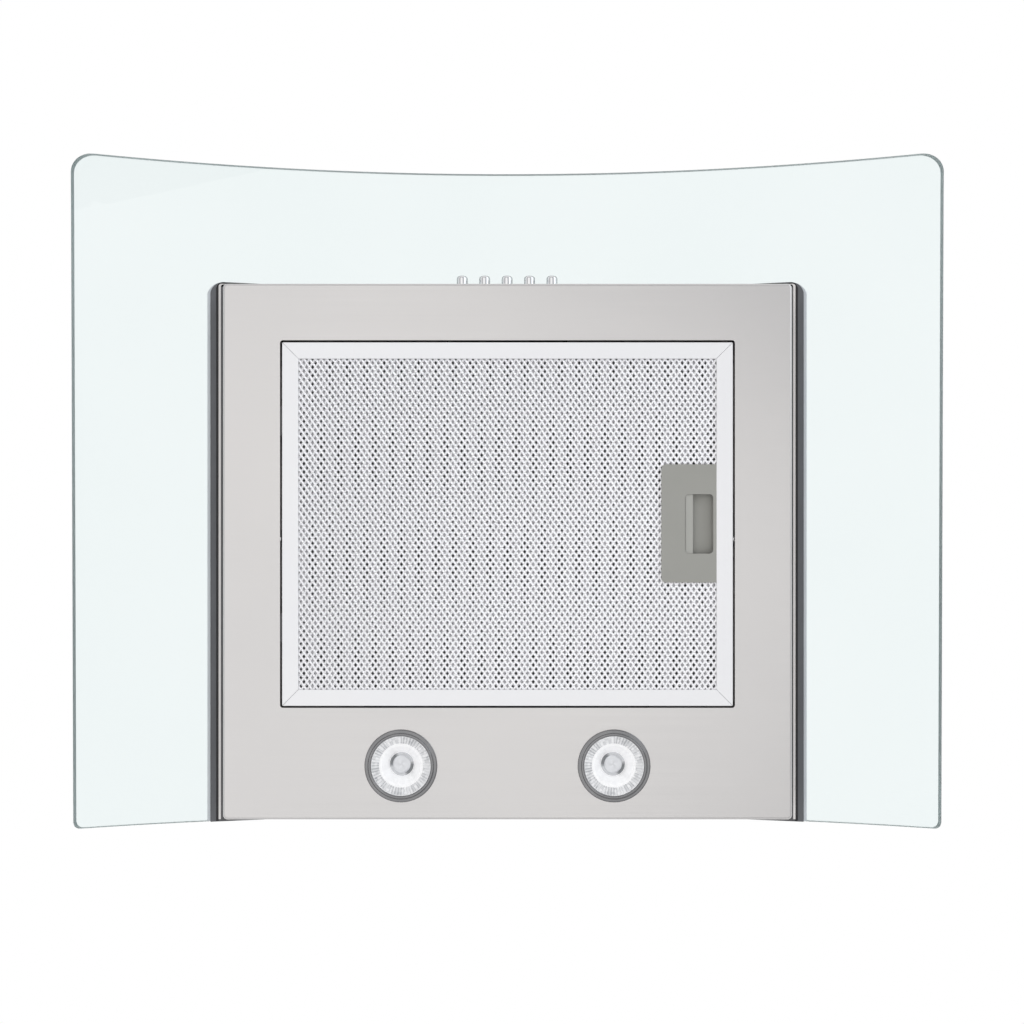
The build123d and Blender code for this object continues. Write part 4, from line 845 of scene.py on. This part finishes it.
def lampRing(sideName, centre, look):
    z, ring, lens, neck = look["panelZ"], look["ring"], look["lens"], look["neck"]
    outline = [
        (lens, z - 1.0),
        (lens + 0.5, z - 1.75),
        (lens + 1.1, z - 1.9),
        (lens + 1.8, z - 1.8),
        (lens + 2.2, z - 1.1),
        (lens + 2.8, z - 1.0),
        (ring - 0.8, z - 1.15),
        (ring - 0.25, z - 0.85),
        (ring, z - 0.5),
        (ring, z),
        (neck, z),
        (neck, z + 9),
        (lens + 1.0, z + 9),
        (lens + 1.0, z - 0.9),
        (lens, z - 0.9),
    ]
    profile = roundedOutline(outline, 0.3, 3)
    bezel = lathe("lamp_ring_" + sideName, np.vstack([profile, profile[:1]]), centre, 128)
    shadeBySharpness(bezel.data, 40)
    place(bezel, materials["lamp_ring"], "lamp_bezel_" + sideName)


# Dished lens: its height gains depth |2 u - 1| over each facet, u being the place across the facet
def lampLensPiece(sideName, centre, look):
    z, lens = look["panelZ"], look["lens"]
    start, end = look["band"]

    def bands(radius):
        outer = np.clip((radius - start) / 0.6, 0, 1) * np.clip((end - radius) / 0.5, 0, 1)
        inner = np.clip((radius - look["fineFrom"]) / 0.8, 0, 1)
        return outer, inner * np.clip((start - radius) / 0.8, 0, 1)

    def facets(angle, radius, height):
        outer, inner = bands(radius)
        spot, _ = facetSpot(angle, look["facets"])
        finer, _ = facetSpot(angle, look["facets"] * 2)
        onFace = (np.arange(height.shape[1]) < faceCount)[None, :]
        rise = outer * np.abs(2 * spot - 1) * look["facetDepth"]
        rise = rise + inner * np.abs(2 * finer - 1) * look["fineDepth"]
        return radius, height + onFace * rise

    # Painted reflection: dark streaks over the facets, finer ones in the dish; painted shade: the
    # lens turns darker past the band, under the ring
    def reflectionAndShade(radius, angle):
        outer, inner = bands(radius)
        spot, number = facetSpot(angle, look["facets"])
        half, step = np.floor(radius * 0.62), np.abs(2 * spot - 1)
        dark = 0.10 + 0.55 * shuffled(number, 3.0) * step + 0.35 * shuffled(number + 31 * half, 1.0)
        fine, fineNumber = facetSpot(angle, look["facets"] * 2)
        faint = 0.16 * (shuffled(fineNumber, 7.0) > 0.6) * np.abs(2 * fine - 1)
        edge = 0.5 * np.clip((radius - end) / 0.3, 0, 1)
        return outer * dark + inner * faint + edge

    (floorR, floorZ), (bendR, bendZ) = look["floor"], look["bend"]
    rimR, rimZ, bore = lens + look["rim"][0], look["rim"][1], look["bore"]
    radius = np.concatenate([np.linspace(floorR, bendR, 10), np.linspace(bendR + 0.4, rimR, 22)])
    face = np.interp(radius, [floorR, bendR, rimR], [z + floorZ, z + bendZ, z + rimZ])
    bulge, spread = look["bulge"]
    face += bulge * np.exp(-(((radius - bendR) / spread) ** 2))
    faceCount = len(radius) + 1
    back = [(rimR, 1.5), (19.0, 1.5), (14.5, 3.7), (10.0, 10.7), (bore, 10.7), (bore, floorZ)]
    profile = [(bore, z + floorZ)] + list(zip(radius, face)) + [(r, z + h) for r, h in back]
    piece = lathe("lamp_lens_shown_" + sideName, profile, centre, look["facets"] * 8, ripple=facets)
    shadeBySharpness(piece.data, 14)
    addPaintedReflectionAndShade(piece, centre, reflectionAndShade)
    place(piece, materials["lamp_lens"], "lamp_lens_" + sideName)


# Cap with a domed middle and a grooved rim, with painted shade along two crescents of the rim and a
# painted reflection swirling over the middle
def lampCapPiece(sideName, centre, look):
    z, cap = look["panelZ"], look["cap"]

    def reflectionAndShade(radius, angle):
        rim = np.clip((radius - 5.9) / 0.4, 0, 1)
        crescent = 0.35 + 0.65 * np.clip(np.sin(2 * angle + 0.6) * 1.6, 0, 1)
        swirl = 0.5 + 0.5 * np.sin(3 * angle + radius * 1.9) * np.sin(radius * 2.4 + 1.0)
        return rim * crescent + (1 - rim) * 0.30 * swirl

    face = [(0, 7.3), (1.2, 7.25), (2.4, 7.45), (3.6, 7.3), (4.8, 7.4), (5.6, 7.75)]
    groove = [(6.0, 8.05), (6.3, 7.6), (6.9, 7.25), (7.5, 7.35), (7.9, 7.7)]
    outline = face + groove + [(cap, 8.1), (cap, 8.54), (5.8, 8.54), (5.8, 11.5), (0, 11.5)]
    profile = [(radius, z + height) for radius, height in outline]
    piece = lathe("lamp_cap_shown_" + sideName, profile, centre, 96)
    shadeBySharpness(piece.data, 60)
    addPaintedReflectionAndShade(piece, centre, reflectionAndShade)
    place(piece, materials["lamp_cap"], "lamp_cap_" + sideName)


for side, sideName in ((-1, "left"), (1, "right")):
    lampCentre = (side * lampLook["x"], lampLook["y"], 0)
    lampRing(sideName, lampCentre, lampLook)
    lampLensPiece(sideName, lampCentre, lampLook)
    lampCapPiece(sideName, lampCentre, lampLook)
print("lamps done")


buttonLook = {
    "count": 5,
    "pitch": 15.75,
    "radius": 3.72,
    "corner": 1.9,  # radius of the edge round the tip
    "crown": 0.35,  # how far the tip stands up in the middle
    "tip": -384.6,
    "z": -157.0,
    "wallInside": -370.9,
    "collar": 5.2,
    "collarFace": 0.3,  # collar, from and to, behind the wall's inner face
    "collarBack": 1.8,
    "stem": 2.0,
    "stemEnd": 17.0,
}


# The tip stands crown (1 - (r / flat)^2) above its edge, which is a quarter circle; behind it come
# the barrel, collar and stem
def pushButton(number, look):
    r, corner, crown = look["radius"], look["corner"], look["crown"]
    edge, wall, stem = look["tip"] + crown, look["wallInside"], look["stem"]
    face, back, end = wall + look["collarFace"], wall + look["collarBack"], wall + look["stemEnd"]
    flat = r - corner
    outline = [(q, edge - crown * (1 - (q / flat) ** 2)) for q in np.linspace(0, flat, 7)]
    turn = np.linspace(0, math.pi / 2, 10)[1:]
    outline += [(flat + corner * math.sin(a), edge + corner * (1 - math.cos(a))) for a in turn]
    outline += [(r, face), (look["collar"], face), (look["collar"], back)]
    outline += [(stem, back), (stem, end), (0, end)]
    x = (number - (look["count"] + 1) / 2) * look["pitch"]
    button = lathe(f"button_{number}_shown", outline, (x, 0, look["z"]), 64, axis="Y")
    shadeBySharpness(button.data, 40)
    place(button, materials["bright_chrome"], f"button_{number}")


for number in range(1, buttonLook["count"] + 1):
    pushButton(number, buttonLook)
print("buttons done")


screwLook = {
    "clampHead": 8.0,
    "clampHeight": 4.4,
    "clampShank": 3.0,
    "clampLength": 19.5,
    "socket": 2.6,
    "socketDepth": 2.4,
    "bushFlange": 1.5,
    "sheetHead": 4.2,
    "sheetHeight": 2.2,
    "sheetShank": 2.2,
    "sheetLength": 8.0,
    "crossHalf": 0.55,
    "crossReach": 2.3,
    "crossDepth": 1.4,
    "play": 0.02,  # between a clamp's bush and the glass
    "domeShare": 0.65,  # of the head's height
    "floorShare": 0.9,  # width of a recess at its floor
    "lipShare": 1.04,  # where the dome starts outside a recess
    "lipDrop": 0.05,
    "segments": 72,
    "domeRings": 10,
    "feetX": 108.0,
    "feetY": (-205.0, -35.0),
    "footSheet": 1.2,
    "collarY": -138.0,
    "collarZ": 88.0,
    "collarHalf": 72.0,
}


# Recess outlines as a radius for each angle: a hexagon, or a cross of half width w and reach q
def hexRadius(angle, size):
    return size / np.cos((angle + math.pi / 6) % (math.pi / 3) - math.pi / 6)


def crossRadius(angle, halfWidth, reach):
    c, s = np.abs(np.cos(angle)), np.abs(np.sin(angle))
    wide = np.minimum(reach / np.maximum(c, 1e-6), halfWidth / np.maximum(s, 1e-6))
    tall = np.minimum(reach / np.maximum(s, 1e-6), halfWidth / np.maximum(c, 1e-6))
    return np.maximum(wide, tall)


# Screw on a polar grid: floor and wall of the recess, then the shank under the domed head
# z = h (1 - d + d sqrt(1 - (r / R)^2)), d being the dome's share
def screwPoints(head, height, shank, length, recess, depth):
    angle = np.linspace(0, 2 * math.pi, screwLook["segments"], endpoint=False)
    edge = recess(angle)[:, None]
    share, lip = screwLook["domeShare"], edge * screwLook["lipShare"]

    def crown(r):
        return height * (1 - share + share * np.sqrt(np.clip(1 - (r / head) ** 2, 0, 1)))

    t = np.linspace(0, 1, screwLook["domeRings"])[None, :]
    domeR = lip + (head - lip) * np.sin(t * math.pi / 2)
    ones = np.ones_like(edge)
    floor = (height - depth) * ones
    rings = [
        (0 * ones, floor),
        (edge * screwLook["floorShare"], floor),
        (edge, crown(edge) - screwLook["lipDrop"]),
        (domeR, crown(domeR)),
        (head * ones, 0 * ones),
        (shank * ones, 0 * ones),
        (shank * ones, -length * ones),
        (0 * ones, -length * ones),
    ]
    r, z = (np.concatenate(part, 1) for part in zip(*rings))
    points = np.stack([r * np.cos(angle)[:, None], r * np.sin(angle)[:, None], z], -1)
    return points.reshape(-1, 3), gridQuads(len(angle), r.shape[1], closeRows=True)


def screwSet(name, spots, points, faces):
    allPoints, allFaces = [], []
    for number, spot in enumerate(spots):
        turned = points @ np.array(spot.to_3x3()).T + np.array(spot.translation)
        allPoints.append(turned)
        allFaces += (np.array(faces) + number * len(points)).tolist()
    obj = meshObject(name, np.concatenate(allPoints), allFaces)
    shadeBySharpness(obj.data, 32)
    return obj


def archSpot(x, y, height):
    tilt = math.asin(x / arch["radius"])
    reach = arch["radius"] + height
    spot = (reach * math.sin(tilt), y, arch["centreZ"] + reach * math.cos(tilt))
    return Matrix.Translation(spot) @ Matrix.Rotation(tilt, 4, "Y")


clampTop = arch["glassThick"] + screwLook["play"] + screwLook["bushFlange"]
hexScrew = screwPoints(
    screwLook["clampHead"],
    screwLook["clampHeight"],
    screwLook["clampShank"],
    screwLook["clampLength"],
    lambda a: hexRadius(a, screwLook["socket"]),
    screwLook["socketDepth"],
)
crossScrew = screwPoints(
    screwLook["sheetHead"],
    screwLook["sheetHeight"],
    screwLook["sheetShank"],
    screwLook["sheetLength"],
    lambda a: crossRadius(a, screwLook["crossHalf"], screwLook["crossReach"]),
    screwLook["crossDepth"],
)
clampSpots = [archSpot(x, y, clampTop) for x, y in glassLook["clamps"]]
clampScrews = screwSet("glass_screws_shown", clampSpots, *hexScrew)
place(clampScrews, materials["bright_chrome"], "glass_screws")
footHeight = -arch["gasketThick"] + screwLook["footSheet"]
feetX, feetY = screwLook["feetX"], screwLook["feetY"]
feet = [archSpot(x, y, footHeight) for x in (-feetX, feetX) for y in feetY]
feetScrews = screwSet("housing_screws_shown", feet, *crossScrew)
place(feetScrews, materials["zinc_steel"], "housing_screws")
half, middle, top = screwLook["collarHalf"], screwLook["collarY"], screwLook["collarZ"]
collarSpots = [
    Matrix.Translation((x, middle + y, top)) for x in (-half, half) for y in (-half, half)
]
collarScrews = screwSet("collar_screws_shown", collarSpots, *crossScrew)
place(collarScrews, materials["zinc_steel"], "collar_screws")
print("screws done")


edgeWidths = {
    "body_shell": 0.25,
    "body_deck": 0.2,
    "lower_chimney": 0.25,
    "upper_chimney": 0.2,
    "filter_frame": 0.35,
    "filter_tongues": 0.25,
    "latch_plate": 0.18,
    "latch_slide": 0.2,
    "housing_front": 0.25,
    "housing_sides": 0.25,
    "housing_top": 0.25,
    "fan_motor": 1.2,
    "run_capacitor": 1.0,
    "terminal_box": 1.0,
    "switch_block": 0.6,
    "duct_collar": 0.3,
    "cable_gland": 0.5,
}
usualEdge = 0.15
# The filter tongues wear the painted-shade grey so that the gap beside the filter stays dark, and
# the latch slide wears its copy with painted light and shade
ownFinish = {"latch_slide": "slide_grey_painted_light_and_shade", "filter_tongues": "painted_shade_grey"}
for node in sorted(frame["nodes"]):
    original = frame["nodes"][node]
    original.data.materials.clear()
    original.data.materials.append(materials[slotOf[node]])
    if original.get("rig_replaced") or original.hide_render:
        continue
    shown = nodeCopy(node)
    softenEdges(shown, edgeWidths.get(node, usualEdge))
    place(shown, materials[ownFinish.get(node, slotOf[node])], node)
print("CAD copies done")


lightLook = {
    "below": (0.75, 0.75, 0.75),
    "side": (0.53, 0.535, 0.545),
    "above": (0.8, 0.8, 0.8),
    "floorZ": -1.74,
    "floorReach": 4000.0,
    "floorPoints": 9,
    "keys": [
        # place, aim, watts, size, colour
        ((-0.5, -0.05, -1.68), (-0.45, -0.1, 0), 8.7, 2.2, (1.0, 0.985, 0.955)),
        ((1.7, -1.2, -1.4), (0, -0.2, -0.1), 8.9, 1.6, (0.862, 0.935, 1.0)),
        ((0.3, -2.4, 1.6), (0, -0.2, -0.1), 7.0, 3.0, (1.0, 1.0, 1.0)),
    ],
}


# White to the camera, in metal and through glass; as light a soft grey, darker at the sides
def softWorld(look):
    world = bpy.data.worlds.new("studio")
    scene.world = world
    world.use_nodes = True
    tree = world.node_tree
    tree.nodes.clear()
    output = tree.nodes.new("ShaderNodeOutputWorld")
    soft = tree.nodes.new("ShaderNodeBackground")
    white = tree.nodes.new("ShaderNodeBackground")
    white.inputs["Color"].default_value = (1, 1, 1, 1)
    direction = tree.nodes.new("ShaderNodeTexCoord")
    parts = tree.nodes.new("ShaderNodeSeparateXYZ")
    tree.links.new(direction.outputs["Generated"], parts.inputs["Vector"])
    band = tree.nodes.new("ShaderNodeValToRGB")
    stops = [(0.0, "below"), (0.35, "side"), (0.65, "side"), (1.0, "above")]
    while len(band.color_ramp.elements) < len(stops):
        band.color_ramp.elements.new(0.5)
    for element, (spot, part) in zip(band.color_ramp.elements, stops):
        element.position = spot
        element.color = (*look[part], 1)
    tree.links.new(ramp(tree, parts.outputs["Z"], 0, 1, -1, 1), band.inputs["Fac"])
    tree.links.new(band.outputs["Color"], soft.inputs["Color"])
    path = tree.nodes.new("ShaderNodeLightPath")
    seen = path.outputs["Is Camera Ray"]
    for kind in ("Is Transmission Ray", "Is Glossy Ray"):
        either = tree.nodes.new("ShaderNodeMath")
        either.operation = "MAXIMUM"
        tree.links.new(seen, either.inputs[0])
        tree.links.new(path.outputs[kind], either.inputs[1])
        seen = either.outputs[0]
    mix = tree.nodes.new("ShaderNodeMixShader")
    tree.links.new(seen, mix.inputs["Fac"])
    tree.links.new(soft.outputs[0], mix.inputs[1])
    tree.links.new(white.outputs[0], mix.inputs[2])
    tree.links.new(mix.outputs[0], output.inputs["Surface"])


def addLights(look):
    for number, (spot, aim, power, size, colour) in enumerate(look["keys"], 1):
        data = bpy.data.lights.new(f"key_{number}", "AREA")
        data.energy = power
        data.size = size
        data.color = colour
        lamp = bpy.data.objects.new(f"key_{number}", data)
        scene.collection.objects.link(lamp)
        lamp.location = spot
        lamp.visible_camera = False
        lamp.visible_transmission = False  # no bright square seen through the glass
        toward = Vector(aim) - Vector(spot)
        lamp.rotation_euler = toward.to_track_quat("-Z", "Y").to_euler()


def addFloor(look):
    count = look["floorPoints"]
    t = np.linspace(-look["floorReach"], look["floorReach"], count)
    xx, yy = np.meshgrid(t, t, indexing="ij")
    points = np.stack([xx, yy, np.full_like(xx, look["floorZ"] / mm)], -1).reshape(-1, 3)
    floor = meshObject("studio_floor", points, gridQuads(count, count), merge=False)
    if floor.data.polygons[0].normal.z < 0:
        floor.data.flip_normals()
    floor.data.materials.append(floorMaterial())


def floorMaterial():
    material, tree, shader = newMaterial("studio_floor")
    cloud = objectNoise(tree, (2, 2, 2), 2.0)
    pale = mixColours(tree, ramp(tree, cloud, 0, 1), (0.80, 0.80, 0.80), (0.78, 0.78, 0.785))
    tree.links.new(pale, shader.inputs["Base Color"])
    tree.links.new(ramp(tree, cloud, 0.6, 0.7), shader.inputs["Roughness"])
    return material


softWorld(lightLook)
addLights(lightLook)
addFloor(lightLook)

cameraLook = {
    "spot": (-0.0067, -0.1855, -1.025),  # below the hood, looking straight up
    "lens": 43.45,
    "sensor": 36.0,
    "shiftX": 0.0141,
    "shiftY": 0.0463,
}
cameraData = bpy.data.cameras.new("photo_camera")
cameraData.lens = cameraLook["lens"]
cameraData.sensor_width = cameraLook["sensor"]
cameraData.shift_x = cameraLook["shiftX"]
cameraData.shift_y = cameraLook["shiftY"]
camera = bpy.data.objects.new("photo_camera", cameraData)
scene.collection.objects.link(camera)
camera.location = cameraLook["spot"]
camera.rotation_euler = (math.pi, 0, 0)
scene.camera = camera
scene.view_settings.view_transform = "Standard"
print("stage done")
